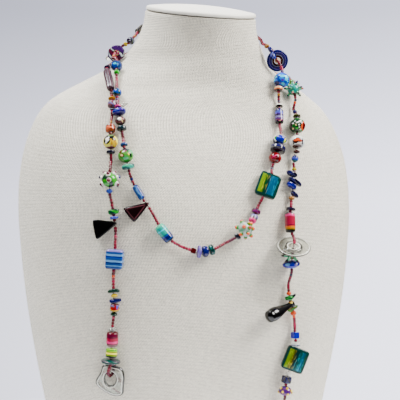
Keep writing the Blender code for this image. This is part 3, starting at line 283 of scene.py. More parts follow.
# How much wider than its solid a flat stone spreads over the bust, to both sides
SPREAD = {"chip_left": 1.42, "chip_green_left": 1.38, "chip_green_upper": 1.24, "chip_green_a": 1.20,
          "chip_navy_low": 1.25, "navy_chip_1": 1.22, "navy_chip_2": 1.22, "navy_chip_3": 1.20,
          "navy_chip_4": 1.20}
THICKER = {"navy_chip_1": 1.45, "navy_chip_2": 1.45, "navy_chip_3": 1.6, "navy_chip_4": 1.45,
           "chip_green_upper": 1.3, "chip_green_a": 1.3}
BUMP_HEIGHT = 0.15

END_RING_OUTLINE = (
    (-0.60, 0.46), (-0.10, 0.52), (0.82, 0.38), (0.96, -0.24), (0.92, -0.90), (0.94, -1.50),
    (0.40, -1.68), (-0.25, -1.48), (-0.78, -1.16), (-1.06, -0.80), (-0.86, -0.38), (-0.68, -0.06))
END_RING_HOLE = (0.36, 0.46)
END_RING_THICKNESS = 0.36
END_RING_SLACK = 0.0024
END_RING_EDGE = 0.17
TRIANGLES = {
    "black_triangle": ((0.28, 0.12), (-1.52, 0.33), (-1.22, -1.12)),
    "maroon_triangle": ((0.29, 0.23), (-1.66, -0.22), (-0.84, -1.26)),
}
TRIANGLE_THICKNESS = 0.42
TRIANGLE_CORNER = 0.09
TRIANGLE_BEVEL = {"black_triangle": 0.10, "maroon_triangle": 0.19}
DROP_PROFILE = (
    (-0.20, 0.00), (-0.18, 0.12), (0.00, 0.17), (0.62, 0.25), (1.26, 0.38), (1.80, 0.47),
    (2.16, 0.43), (2.42, 0.27), (2.50, 0.00))
DROP_SLOPE = 15
DROP_RISE = 14
FACE_RING_FACING = {"indigo_disc": (-12.0, -14.0), "purple_ring": (-24.0, 6.0)}
FACE_RING_LIFT = {"indigo_disc": 0.90, "purple_ring": 0.62}
FACE_RING_HOLE = 0.26
FACE_RING_BEAD = 0.21

# ---- Paints, as they look on screen (0 to 255)
PAINT_DEPTH = 1.7           # power that deepens them for the strong light
PAINTS = {
    "linen": (246, 242, 231), "linen_shade": (150, 142, 127), "board": (238, 236, 229),
    "crimson": (158, 20, 84), "wine": (128, 12, 64), "rose": (184, 48, 108), "black": (16, 12, 18),
    "white": (240, 238, 230), "cream": (232, 212, 170), "grey": (112, 108, 116),
    "pale_grey": (176, 174, 178), "charcoal": (66, 60, 72), "olive": (124, 118, 40),
    "dark_olive": (66, 64, 22), "lime": (164, 200, 60), "pale_yellow": (238, 230, 120),
    "yellow": (222, 200, 40), "gold": (196, 150, 40), "orange": (226, 118, 50),
    "peach": (226, 150, 108), "terracotta": (190, 104, 74),
    "brown": (112, 64, 40), "red": (178, 16, 40), "dark_red": (124, 12, 34), "maroon": (58, 6, 26),
    "ink": (20, 6, 14), "pink": (224, 92, 160), "magenta": (180, 0, 96), "plum": (132, 14, 84),
    "mauve": (150, 104, 112), "purple": (112, 52, 142), "dark_purple": (72, 34, 100),
    "violet": (126, 76, 190), "indigo": (58, 46, 134), "lavender": (150, 140, 186),
    "periwinkle": (110, 124, 200), "navy": (22, 32, 128), "midnight": (16, 22, 74),
    "cobalt": (6, 10, 186), "blue": (36, 104, 190), "steel": (60, 108, 162), "sky": (20, 150, 232),
    "pale_blue": (140, 180, 214), "cyan": (40, 216, 232), "turquoise": (30, 180, 170),
    "aqua": (90, 196, 170), "teal": (12, 126, 126), "deep_teal": (8, 84, 92), "dark_green": (12, 90, 60),
    "green": (44, 164, 66), "leaf": (96, 186, 64), "bright_green": (50, 196, 60),
    "sea_green": (120, 196, 160), "sage": (130, 156, 110), "clear": (236, 242, 240),
    "foil_lime": (150, 176, 16), "foil_green": (20, 112, 48), "foil_teal": (0, 92, 86),
    "foil_cyan": (0, 122, 150), "smoke": (82, 84, 104),
}

# ---- How each bead is coloured: pattern, paints (with widths from its lower end up, for bands), the
# pattern's scale, and how clear its glass is
LOOK_COLUMNS = ("name", "pattern", "paints", "scale", "clear")
LOOKS = (
    ("green_disc", "swirl", ("dark_green", "teal", "dark_green", "grey"), 0.8, 0.0),
    ("lime_barrel", "bands", (("dark_olive", 3), ("lime", 1), ("olive", 1), ("pale_yellow", 3), ("olive", 1),
                              ("lime", 2), ("green", 1), ("lime", 2)), 0.10, 0.0),
    ("magenta_barrel", "bands", (("pale_grey", 1), ("mauve", 3), ("brown", 1), ("pink", 3), ("magenta", 4),
                                 ("plum", 5), ("wine", 2)), 0.06, 0.0),
    ("clear_bead_left", "plain", ("clear",), 1, 0.9),
    ("dark_bead_left", "plain", ("dark_green",), 1, 0.0),
    ("striped_bead_small", "bands", (("olive", 2), ("yellow", 1), ("red", 3), ("olive", 1), ("lavender", 2),
                                     ("dark_red", 1)), 0.4, 0.0),
    ("chip_left", "swirl", ("navy", "midnight", "navy"), 1, 0.0),
    ("yellow_bead_left", "plain", ("yellow",), 1, 0.0),
    ("chip_green_left", "swirl", ("dark_green", "deep_teal", "dark_green"), 1, 0.0),
    ("striped_cube_blue", "bands", (("navy", 1), ("steel", 2), ("pale_blue", 1), ("steel", 2), ("navy", 1),
                                    ("pale_blue", 2), ("steel", 2), ("blue", 1), ("navy", 1),
                                    ("pale_blue", 2), ("steel", 2), ("lavender", 2)), 0.05, 0.0),
    ("black_triangle", "plain", ("ink",), 1, 0.0),
    ("disc_blue_grey", "plain", ("periwinkle",), 1, 0.0),
    ("chip_green_upper", "swirl", ("dark_green", "deep_teal", "green"), 1, 0.0),
    ("bead_blue_low", "plain", ("blue",), 1, 0.0),
    ("bumpy_green", "swirl", ("leaf", "green", "leaf", "dark_green"), 0.6, 0.0),
    ("black_disc", "plain", ("midnight",), 1, 0.0),
    ("lampwork_yellow", "swirl", ("yellow", "gold", "yellow", "pale_yellow"), 0.8, 0.0),
    ("terracotta_bead", "swirl", ("terracotta", "peach", "terracotta", "brown"), 1.0, 0.0),
    ("lavender_bead", "swirl", ("lavender", "grey", "mauve"), 1.0, 0.0),
    ("bead_olive", "plain", ("gold",), 1, 0.0),
    ("coil_bead", "bands", (("black", 2), ("pale_grey", 1), ("black", 2), ("grey", 1)), 0.1, 0.0),
    ("fluted_tube", "flutes", ("dark_purple", "charcoal", "mauve", "grey"), 9, 0.0),
    ("dark_cap", "plain", ("dark_purple",), 1, 0.0),
    ("bead_gold", "plain", ("gold",), 1, 0.0),
    ("chip_navy_top", "swirl", ("navy", "indigo", "navy"), 1, 0.0),
    ("chip_navy_mid", "swirl", ("indigo", "navy", "periwinkle"), 1, 0.0),
    ("indigo_disc_middle", "swirl", ("brown", "terracotta", "brown", "cream"), 1.0, 0.0),
    ("purple_ring_middle", "swirl", ("pink", "mauve", "cream"), 1.0, 0.0),
    ("indigo_disc", "rings", (("brown", 3), ("midnight", 2), ("pale_grey", 1), ("indigo", 2), ("grey", 1),
                              ("indigo", 2), ("lavender", 1), ("navy", 5)), 0.05, 0.0),
    # sky_bead: its cyan cells are painted highlights
    ("sky_bead", "cells", ("sky", "cyan", "sky", "sky", "blue"), 2.2, 0.0),
    ("bead_peach", "bands", (("brown", 1), ("peach", 2), ("cream", 2), ("peach", 1)), 0.1, 0.0),
    ("disc_white", "bands", (("black", 1), ("white", 2), ("black", 1)), 0.05, 0.0),
    ("barrel_purple", "bands", (("black", 1), ("dark_purple", 1), ("mauve", 1), ("purple", 2),
                                ("lavender", 2), ("dark_purple", 2), ("violet", 1), ("periwinkle", 2),
                                ("navy", 3)),
     0.18, 0.0),
    ("lampwork_cobalt", "swirl", ("navy", "cobalt", "midnight"), 0.8, 0.0),
    ("striped_disc_blue", "bands", (("midnight", 1), ("grey", 1), ("black", 1), ("indigo", 1), ("smoke", 1),
                                    ("navy", 1)), 0.3, 0.0),
    ("red_bead", "swirl", ("red", "dark_red", "red", "dark_red"), 0.8, 0.0),
    ("foil_square_mid", "foil", ("foil_green", "foil_lime", "foil_lime", "foil_green", "foil_teal",
                                 "foil_cyan", "foil_cyan", "foil_cyan", "foil_teal"), 1, 0.0),
    ("disc_purple_mid", "swirl", ("purple", "magenta", "dark_purple"), 0.8, 0.0),
    ("barrel_grey", "bands", (("pink", 2), ("mauve", 1), ("grey", 2), ("lavender", 2), ("charcoal", 1)),
     0.3, 0.0),
    ("spiky_clear", "swirl", ("clear", "sea_green", "clear"), 0.8, 0.55),
    ("chip_navy_low", "plain", ("midnight",), 1, 0.0),
    ("green_disc_low", "swirl", ("deep_teal", "dark_green", "teal"), 0.8, 0.0),
    ("navy_disc_low", "swirl", ("navy", "indigo", "navy"), 0.8, 0.0),
    ("purple_disc_low", "swirl", ("purple", "violet", "lavender"), 0.6, 0.0),
    ("cube_red", "plain", ("dark_red",), 1, 0.0),
    ("barrel_turquoise", "bands", (("grey", 1), ("midnight", 1), ("steel", 1), ("navy", 3), ("blue", 1),
                                   ("teal", 1), ("turquoise", 4), ("cyan", 1), ("turquoise", 3), ("aqua", 2)),
     0.08, 0.0),
    ("maroon_triangle", "plain", ("maroon",), 1, 0.0),
    ("blue_tube", "streaks", ("steel", "navy", "blue", "pale_blue", "steel"), 2, 0.0),
    ("turquoise_disc", "swirl", ("turquoise", "aqua", "teal"), 0.5, 0.0),
    ("lampwork_flower", "swirl", ("leaf", "sage", "leaf", "sea_green"), 0.7, 0.0),
    ("bead_blue_grey", "plain", ("steel",), 1, 0.0),
    ("disc_dark_green", "plain", ("deep_teal",), 1, 0.0),
    ("lampwork_white", "swirl", ("brown", "black", "mauve", "black"), 1.0, 0.0),
    ("cobalt_swirl", "swirl", ("cobalt", "navy", "cobalt", "indigo"), 0.8, 0.0),
    ("bead_pink", "plain", ("pink",), 1, 0.0),
    ("glass_fin", "plain", ("clear",), 1, 0.9),
    ("teal_bead", "swirl", ("deep_teal", "teal", "blue"), 0.8, 0.0),
    ("bead_bright_green", "plain", ("bright_green",), 1, 0.0),
    ("faceted_blue", "swirl", ("blue", "deep_teal", "steel"), 0.8, 0.2),
    ("purple_ring", "swirl", ("plum", "dark_purple", "clear", "charcoal", "purple"), 0.7, 0.2),
    ("glass_bump", "plain", ("clear",), 1, 0.9),
    ("bead_yellow_top", "plain", ("yellow",), 1, 0.0),
    ("chip_purple_top", "plain", ("dark_purple",), 1, 0.0),
    ("cluster_top", "swirl", ("lavender", "sage", "dark_purple"), 1.2, 0.0),
    ("tube_ridged", "flutes", ("olive", "grey", "charcoal"), 6, 0.0),
    ("bead_olive_right", "plain", ("olive",), 1, 0.0),
    ("bead_olive_upper", "swirl", ("dark_green", "olive", "bright_green"), 1.2, 0.0),
    ("spiky_aqua", "swirl", ("sea_green", "sage", "turquoise"), 0.7, 0.1),
    ("cone_indigo", "plain", ("indigo",), 1, 0.0),
    ("ring_olive", "plain", ("olive",), 1, 0.0),
    ("lampwork_dark_green", "swirl", ("dark_green", "green", "dark_green"), 0.7, 0.0),
    ("lampwork_clear", "swirl", ("white", "clear", "pale_grey", "white"), 0.7, 0.15),
    ("bead_brown", "plain", ("brown",), 1, 0.0),
    # blue_bead: its periwinkle band is a painted highlight
    ("blue_bead", "bands", (("teal", 2), ("blue", 1), ("periwinkle", 2), ("navy", 3)), 0.3, 0.0),
    ("bead_yellow_right", "plain", ("yellow",), 1, 0.0),
    ("navy_chip_1", "swirl", ("midnight", "black", "navy"), 0.8, 0.0),
    ("navy_chip_2", "swirl", ("midnight", "navy", "midnight"), 0.8, 0.0),
    ("navy_chip_3", "swirl", ("navy", "cobalt", "navy"), 0.8, 0.0),
    ("navy_chip_4", "swirl", ("midnight", "indigo", "midnight"), 0.8, 0.0),
    ("bead_yellow_lower", "plain", ("gold",), 1, 0.0),
    ("disc_purple_right", "plain", ("dark_purple",), 1, 0.0),
    ("pink_barrel", "bands", (("black", 2), ("olive", 1), ("gold", 2), ("orange", 1), ("plum", 1),
                              ("magenta", 8), ("pink", 2), ("mauve", 1), ("dark_purple", 1)), 0.10, 0.0),
    ("clear_disc_big", "plain", ("clear",), 1, 1.0),
    ("spiky_green", "swirl", ("sage", "brown", "sea_green"), 0.8, 0.1),
    ("cobalt_bead", "swirl", ("cobalt", "navy", "cobalt", "indigo"), 0.7, 0.0),
    ("bead_orange", "plain", ("orange",), 1, 0.0),
    ("chip_green_a", "swirl", ("dark_green", "deep_teal", "green"), 0.8, 0.0),
    ("shard_grey", "swirl", ("charcoal", "deep_teal", "black"), 0.8, 0.0),
    ("bead_yellow_drop", "plain", ("yellow",), 1, 0.0),
    ("shard_green", "swirl", ("dark_green", "green", "deep_teal", "olive"), 0.8, 0.0),
    ("shard_olive", "swirl", ("olive", "sage", "green"), 0.8, 0.0),
    ("black_drop", "plain", ("ink",), 1, 0.0),
    ("bead_amber", "plain", ("orange",), 1, 0.0),
    ("cube_cobalt", "plain", ("cobalt",), 1, 0.0),
    ("flare_clear", "bands", (("clear", 1), ("navy", 1), ("clear", 2), ("white", 1)), 0.5, 0.4),
    ("foil_square_low", "foil", ("foil_green", "foil_lime", "foil_lime", "olive", "foil_teal",
                                 "foil_teal", "teal", "foil_cyan", "foil_green"), 1, 0.0),
    ("bead_white_low", "plain", ("white",), 1, 0.2),
    ("cube_navy", "swirl", ("smoke", "navy", "charcoal"), 1.0, 0.0),
    ("bumpy_purple", "swirl", ("violet", "mauve", "purple"), 0.8, 0.0),
    ("bead_end", "plain", ("gold",), 1, 0.0),
    ("end_ring", "swirl", ("clear", "white", "mauve", "clear", "clear"), 0.7, 1.0),
)

# ---- Strokes of melted glass on a bead, and a few painted highlights, as the photograph sees them: where (right and up of its
# middle) and how wide and high, as shares of its half size; turn in degrees; how much of the middle is
# left open; and paint
STROKE_COLUMNS = ("right", "up", "wide", "high", "turn", "open", "paint")
STROKES = {
    "lampwork_yellow": (
        (-0.10, 0.72, 0.62, 0.34, 0, 0, "black"), (-0.42, 0.18, 0.46, 0.52, 0, 0, "black"),
        (-0.36, 0.30, 0.30, 0.22, -25, 0, "white"), (-0.44, -0.06, 0.12, 0.24, -30, 0, "white"),
        (0.30, 0.42, 0.14, 0.30, 20, 0, "black"), (0.62, 0.30, 0.12, 0.26, 10, 0, "black"),
        (0.10, 0.92, 0.40, 0.14, 0, 0, "sage"), (0.0, -0.84, 0.70, 0.20, 0, 0, "mauve")),
    "lampwork_flower": (
        (0.0, 0.88, 0.62, 0.26, 0, 0, "deep_teal"), (-0.10, 0.62, 0.28, 0.16, 0, 0, "mauve"),
        (-0.42, 0.0, 0.26, 0.30, 20, 0, "brown"), (-0.42, 0.0, 0.14, 0.18, 20, 0, "cream"),
        (0.46, 0.26, 0.16, 0.40, 24, 0, "dark_green"), (0.40, 0.18, 0.06, 0.24, 24, 0, "pale_yellow"),
        (-0.62, 0.50, 0.20, 0.18, 0, 0, "dark_red"), (0.70, 0.0, 0.12, 0.30, 0, 0, "dark_green"),
        (0.10, -0.40, 0.34, 0.16, 0, 0, "sea_green")),
    "lampwork_white": (
        (-0.18, 0.30, 0.40, 0.42, 0, 0, "white"), (0.30, 0.10, 0.14, 0.56, 20, 0, "cream"),
        (-0.10, -0.10, 0.26, 0.14, 0, 0, "brown"), (0.44, 0.40, 0.16, 0.16, 0, 0, "magenta"),
        (-0.44, 0.04, 0.12, 0.34, 0, 0, "black")),
    "cobalt_swirl": (
        (-0.30, 0.20, 0.34, 0.20, 20, 0, "periwinkle"), (0.30, 0.34, 0.30, 0.30, 0, 0.5, "violet"),
        (0.50, -0.30, 0.26, 0.30, 0, 0, "indigo")),
    "lampwork_cobalt": (
        (0.10, 0.10, 0.98, 0.86, -20, 0.86, "white"), (0.06, 0.14, 0.60, 0.62, 0, 0, "cobalt"),
        (-0.10, 0.40, 0.22, 0.12, -25, 0, "periwinkle"), (0.56, -0.30, 0.30, 0.24, 30, 0, "green"),
        (0.62, -0.10, 0.12, 0.40, -24, 0, "pale_yellow"), (-0.66, 0.30, 0.14, 0.30, -20, 0, "green"),
        (-0.50, -0.50, 0.30, 0.22, 0, 0, "smoke")),
    "red_bead": (
        (-0.10, 0.30, 0.56, 0.07, 28, 0, "pink"), (0.20, 0.02, 0.50, 0.06, 24, 0, "mauve"),
        (-0.30, -0.10, 0.30, 0.06, 34, 0, "rose"), (0.0, 0.62, 0.44, 0.12, 10, 0, "dark_red")),
    "sky_bead": (
        # sky_bead: the cyan stroke near the top is a painted highlight
        (0.05, 0.40, 0.36, 0.20, 0, 0, "cyan"), (0.02, -0.14, 0.22, 0.13, 0, 0, "violet"),
        (-0.66, -0.42, 0.26, 0.30, 30, 0, "navy")),
    "lampwork_dark_green": (
        (-0.92, -0.10, 0.22, 0.60, 0, 0, "maroon"), (0.80, -0.10, 0.42, 0.62, -10, 0, "orange"),
        (0.84, -0.06, 0.30, 0.50, -10, 0, "dark_red"), (0.16, 0.48, 0.44, 0.10, 30, 0, "white"),
        (-0.60, 0.26, 0.12, 0.12, 0, 0, "white"), (-0.24, 0.02, 0.11, 0.11, 0, 0, "cream"),
        (0.14, 0.04, 0.11, 0.11, 0, 0, "white"), (0.20, -0.28, 0.11, 0.11, 0, 0, "white"),
        (0.34, -0.56, 0.10, 0.10, 0, 0, "cream"), (-0.56, -0.44, 0.10, 0.10, 0, 0, "cream"),
        (-0.14, -0.40, 0.20, 0.12, 0, 0, "bright_green")),
    "lampwork_clear": (
        (-0.05, 0.16, 0.66, 0.40, 14, 0, "brown"), (-0.12, 0.24, 0.42, 0.18, 14, 0, "orange"),
        (0.30, 0.08, 0.24, 0.16, 30, 0, "terracotta"), (0.18, -0.20, 0.44, 0.14, 24, 0, "white"),
        (-0.10, -0.62, 0.56, 0.24, 0, 0, "brown"), (0.62, 0.10, 0.08, 0.46, 0, 0, "smoke"),
        (-0.52, -0.16, 0.10, 0.30, 0, 0, "black")),
    "cobalt_bead": (
        (-0.50, 0.10, 0.26, 0.30, 0, 0, "pale_blue"), (0.46, 0.06, 0.22, 0.34, 0, 0, "lavender"),
        (0.0, 0.10, 0.26, 0.50, 0, 0, "cobalt"), (-0.10, -0.62, 0.60, 0.18, 0, 0, "periwinkle")),
    "faceted_blue": (
        # faceted_blue: the cyan stroke at the upper left is a painted highlight
        (-0.24, 0.34, 0.30, 0.22, 0, 0, "cyan"), (0.26, 0.10, 0.16, 0.26, 0, 0, "pale_blue")),
    "teal_bead": (
        (-0.20, 0.20, 0.34, 0.28, 0, 0, "blue"), (0.20, -0.50, 0.40, 0.20, 0, 0, "olive")),
    "turquoise_disc": (
        (-0.20, 0.30, 0.50, 0.24, -10, 0, "sea_green"),),
    "terracotta_bead": (
        (0.10, 0.20, 0.60, 0.14, -6, 0, "peach"), (0.10, -0.30, 0.50, 0.10, 0, 0, "brown")),
    "striped_bead_small": (
        (0.30, 0.0, 0.30, 0.60, 0, 0, "red"), (0.62, 0.10, 0.14, 0.50, 0, 0, "periwinkle")),
    "barrel_purple": (
        (-0.30, -0.40, 0.10, 0.05, 0, 0, "pink"), (0.10, -0.44, 0.10, 0.05, 0, 0, "cream"),
        (0.44, -0.38, 0.10, 0.05, 0, 0, "pink"), (-0.06, 0.10, 0.50, 0.05, 0, 0, "pale_grey")),
    "spiky_green": (
        (0.0, 0.0, 0.26, 0.60, 0, 0, "brown"), (0.0, 0.20, 0.14, 0.20, 0, 0, "cream")),
}

# ---- Raised dots and spikes: degrees round the bead from the photograph's view (right is plus) and
# share of its height, then how wide and tall they are in BEAD, and the paints of foot and tips
RAISED_COLUMNS = ("name", "spots", "width", "height", "foot", "tips")
RAISED = (
    ("bumpy_green",
     ((0, -0.20), (-86, 0.26), (84, 0.34), (-80, -0.52), (78, -0.48), (-80, 0.80), (80, 0.82),
      (-8, 0.60), (140, 0.20), (-140, 0.10), (180, -0.40), (120, -0.50), (-120, -0.50)),
     0.34, 0.27, "white", ("plum", "dark_purple", "navy", "plum")),
    ("spiky_clear",
     ((0, 0.96), (-24, 0.72), (-82, 0.42), (60, 0.62), (-28, -0.16), (48, -0.36), (92, -0.10), (6, -0.95),
      (-90, -0.50), (14, 0.30), (150, 0.5), (-150, 0.2), (180, -0.3), (120, -0.6)),
     0.32, 0.24, "green", ("orange", "gold", "terracotta", "orange")),
    ("spiky_aqua",
     ((80, 0.80), (-10, 0.86), (86, 0.14), (52, -0.08), (-32, -0.42), (64, -0.80), (-84, 0.10), (-70, 0.60),
      (16, 0.34), (-20, -0.90), (150, 0.40), (-150, -0.2), (130, -0.40)),
     0.22, 0.34, "sea_green", ("midnight", "navy", "dark_green", "red")),
    ("bumpy_purple",
     ((-66, 0.66), (-28, 0.20), (60, 0.30), (20, -0.30), (90, -0.30), (-90, -0.30), (150, 0.2), (-150, 0.2),
      (20, 0.80)),
     0.22, 0.13, "gold", ("pale_yellow", "yellow")),
    ("spiky_green",
     ((-84, 0.30), (84, 0.36), (-40, -0.20), (40, -0.20), (-110, -0.1), (110, 0.0), (180, 0.2)),
     0.22, 0.52, "sea_green", ("black", "midnight")),
)


def rows(table, columns):
    return [dict(zip(columns, row)) for row in table]


# ---- The bust's surface and the string's route
def smooth(at, knots, values):
    """A smooth curve through values at knots, read at one place or many."""
    knots = np.asarray(knots, float)
    values = np.asarray(values, float)
    at = np.clip(np.asarray(at, float), knots[0], knots[-1])
    steps = np.diff(knots)
    slopes = np.diff(values) / steps
    bend = np.empty(len(knots))
    bend[0] = slopes[0]
    bend[-1] = slopes[-1]
    bend[1:-1] = (slopes[:-1] * steps[1:] + slopes[1:] * steps[:-1]) / (steps[:-1] + steps[1:])
    i = np.clip(np.searchsorted(knots, at) - 1, 0, len(steps) - 1)
    t = (at - knots[i]) / steps[i]
    lower = values[i] * (1 + 2 * t) * (1 - t) ** 2 + bend[i] * steps[i] * t * (1 - t) ** 2
    upper = values[i + 1] * t * t * (3 - 2 * t) - bend[i + 1] * steps[i] * t * t * (1 - t)
    return lower + upper


def skin(around, height):
    """The bust's surface: degrees round it from its front, at a share of its height."""
    wide, middle, front, back, tilt, full = (
        smooth(height, SECTIONS[:, 0], SECTIONS[:, column]) for column in range(1, 7))
    side = np.sin(np.radians(around))
    fore = np.cos(np.radians(around))
    x = BUST_WIDTH / 2 * wide * np.sign(side) * np.abs(side) ** (2 / full)
    reach = np.where(fore > 0, front, back)
    y = BUST_DEPTH * (middle + (reach - middle) * np.abs(fore) ** (2 / full))
    drop = (y - BUST_DEPTH * (front + back) / 2) * np.tan(np.radians(tilt))
    return np.stack([x, y, BUST_HEIGHT * height + drop], -1)


def outward(around, height):
    turn = 0.5
    rise = 0.001
    across = skin(around + turn, height) - skin(around - turn, height)
    up = skin(around, np.minimum(height + rise, NECK_TOP)) - skin(around, height - rise)
    out = np.cross(across, up)
    return out / np.linalg.norm(out, axis=-1, keepdims=True)


def read_route():
    """Distance along the string, and its place, outward direction and rise there; the strands' starts."""
    points = []
    first = {}
    for strand, table in ROUTE.items():
        first[strand] = len(points)
        for around, up, over in table:
            while points and around > points[-1][0] + 180:
                around -= 360
            while points and around < points[-1][0] - 180:
                around += 360
            points.append((around, up, over))
    around, up, over = np.array(points).T
    chord = np.linalg.norm(np.diff(skin(around, up), axis=0), axis=1)
    knots = np.concatenate([[0.0], np.cumsum(chord)])
    fine = np.linspace(0.0, knots[-1], 1700)
    turn, height, rise = (smooth(fine, knots, values) for values in (around, up, over))
    place = skin(turn, height)
    run = np.concatenate([[0.0], np.cumsum(np.linalg.norm(np.diff(place, axis=0), axis=1))])
    starts = {strand: float(np.interp(knots[i], fine, run)) for strand, i in first.items()}
    return run, place, outward(turn, height), rise, starts


RUN, PLACE, OUT, RISE, STARTS = read_route()
STRANDS = tuple(STARTS)
LENGTH = float(RUN[-1])


def strand_ends(strand):
    later = STRANDS.index(strand) + 1
    return STARTS[strand], STARTS[STRANDS[later]] if later < len(STRANDS) else LENGTH


def on_route(run, lift):
    """A place on the route, lifted off the bust, and the outward direction there."""
    run = np.clip(run, 0.0, LENGTH)
    place = np.array([np.interp(run, RUN, PLACE[:, k]) for k in range(3)])
    out = np.array([np.interp(run, RUN, OUT[:, k]) for k in range(3)])
    out /= np.linalg.norm(out)
    return Vector(place + out * (lift + SEED * float(np.interp(run, RUN, RISE)))), Vector(out)


class Strung:
    """One bead on the string, with its place and its frame: Z along the string, Y into the bust."""

    def __init__(self, row, strand):
        start, end = strand_ends(strand)
        self.__dict__.update(row)
        self.strand = strand
        self.run = start + self.at * (end - start)
        self.long, self.wide, self.deep = self.long * BEAD, self.wide * BEAD, self.deep * BEAD
        self.lean, self.roll, self.spin = (radians(angle) for angle in (self.lean, self.roll, self.spin))
        self.slant = acos(cos(self.lean) * cos(self.roll))
        self.lift = self.deep / 2 * cos(self.lean) + self.long / 2 * abs(sin(self.lean)) + REST_GAP
        self.lift += self.wide / 2 * abs(sin(self.spin))
        self.hold = (self.long / 2 + GAP + SEED / 2 * sin(self.slant)) / cos(self.slant)
        if self.kind == "bead" and self.form == "bumpy":
            self.lift += BUMP_HEIGHT * BEAD
        if self.kind == "accent":
            self.hold = self.long / 2
        if self.kind == "ring":
            self.lift = FACE_RING_LIFT[self.name] * BEAD
            self.hold = self.wide / 2

    def settle(self, lift_at):
        """Work out the bead's centre and frame from the string around it."""
        lift_before = lift_at(self.run - self.hold)
        lift_after = lift_at(self.run + self.hold)
        half_chord = self.hold + SEED
        before, _ = on_route(self.run - half_chord, lift_before)
        after, _ = on_route(self.run + half_chord, lift_after)
        self.centre, self.out = on_route(self.run, max(self.lift, (lift_before + lift_after) / 2))
        self.along = (after - before).normalized()
        up = self.along if self.along.z >= 0 else -self.along
        inward = -(self.out - self.out.dot(up) * up).normalized()
        self.frame = Matrix((inward.cross(up), inward, up)).transposed()
        self.face = self.along
        if self.kind == "ring":
            turn, rise = (radians(angle) for angle in FACE_RING_FACING[self.name])
            face = Vector((sin(turn) * cos(rise), -cos(turn) * cos(rise), sin(rise)))
            side = Vector((0, 0, 1)).cross(face).normalized()
            self.face = face if self.along.z < 0 else -face
            self.frame = Matrix((side, face.cross(side), face)).transposed()

    def turned(self):
        """The bead's frame with its own spin, roll and lean."""
        tilt = Matrix.Rotation(self.roll, 3, "Y") @ Matrix.Rotation(self.lean, 3, "X")
        return self.frame @ Matrix.Rotation(self.spin, 3, "Z") @ tilt

    def upright(self):
        """A frame in the bust's surface whose Z stays as near straight up as it can."""
        up = Vector((0, 0, 1))
        up = (up - up.dot(self.out) * self.out).normalized()
        return Matrix((-self.out.cross(up), -self.out, up)).transposed()


def string_beads():
    """Every bead in order along the string, with the string's lift off the bust."""
    strung = []
    for strand in STRANDS:
        for row in rows(CHARTS.get(strand, ()), CHART_COLUMNS):
            bead = Strung(row, strand)
            if strung:
                bead.run = max(bead.run, strung[-1].run + strung[-1].hold + bead.hold + NEIGHBOUR_GAP)
            strung.append(bead)
    reach = 1.4 * BEAD

    def lift_at(run):
        lift = SEED_LIFT
        for bead in strung:
            past = abs(run - bead.run) - bead.hold
            if past < reach:
                share = 0.5 + 0.5 * cos(pi * max(past, 0.0) / reach)
                lift = max(lift, SEED_LIFT + (bead.lift - SEED_LIFT) * share)
        return lift

    for bead in strung:
        bead.settle(lift_at)
    return strung, lift_at


# ---- Meshes
def keep(name, mesh, materials, nodes=(), sharp=40):
    """A finished piece: its mesh in place, its finish, what carries it and the solids it stands for."""
    mesh.name = name
    mesh.materials.clear()
    for material in materials:
        mesh.materials.append(material)
    made = bpy.data.objects.new(name, mesh)
    bpy.context.scene.collection.objects.link(made)
    mesh.shade_smooth()
    mesh.set_sharp_from_angle(angle=radians(sharp))
    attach(made, "root")
    if nodes:
        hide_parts(*nodes)
    return made


def spots_of(mesh):
    places = np.empty(len(mesh.vertices) * 3)
    mesh.vertices.foreach_get("co", places)
    return places.reshape(-1, 3)


def mark(mesh, name, values):
    kind = "FLOAT_VECTOR" if values.ndim == 2 else "FLOAT"
    field = "vector" if values.ndim == 2 else "value"
    mesh.attributes.new(name, kind, "POINT").data.foreach_set(field, values.ravel())


def mark_local(mesh, size):
    """Store where each point lies in the piece itself, as shares of its half sizes."""
    mark(mesh, "local", spots_of(mesh) / (np.array(size) / 2))


def finish_mesh(work, name, size):
    mesh = bpy.data.meshes.new(name)
    bmesh.ops.remove_doubles(work, verts=work.verts, dist=1e-7)
    bmesh.ops.recalc_face_normals(work, faces=work.faces)
    work.to_mesh(mesh)
    work.free()
    mark_local(mesh, size)
    return mesh


def turned_mesh(profile, sides, size, closed=True, bend=None):
    """A mesh turned about the Z axis from (radius, height) points that run down its outer side."""
    work = bmesh.new()
    rings = []
    for radius, height in profile:
        ring = []
        for k in range(sides):
            angle = 2 * pi * k / sides
            reach = radius * (bend(angle, radius, height) if bend and radius > 0 else 1.0)
            ring.append(work.verts.new((reach * cos(angle), reach * sin(angle), height)))
        rings.append(ring)
    pairs = list(zip(rings, rings[1:])) + ([(rings[-1], rings[0])] if closed else [])
    for high, low in pairs:
        for k in range(sides):
            after = (k + 1) % sides
            work.faces.new((high[k], low[k], low[after], high[after]))
    return finish_mesh(work, "turned", size)


# How square a form's side is, from a ball (1) towards a cylinder (0)
SQUARENESS = {"round": 1.0, "bumpy": 1.0, "barrel": 0.34, "fluted": 0.22, "disc": 0.55, "chip": 0.62}
BEAD_RINGS = 26           # points down the outer side of a turned bead
BEAD_SIDES = 48


def bead_profile(bead):
    """The side of a drilled bead, from top to bottom and back up its hole."""
    square = SQUARENESS[bead.form]
    hole = min(0.0010, bead.wide * 0.18)
    points = []
    for step in range(BEAD_RINGS):
        angle = pi * step / (BEAD_RINGS - 1)
        across = bead.wide / 2 * sin(angle) ** square
        height = bead.long / 2 * np.sign(cos(angle)) * abs(cos(angle)) ** square
        points.append((max(across, hole), float(height)))
    return points + [(hole, -bead.long * 0.46), (hole, bead.long * 0.46)]


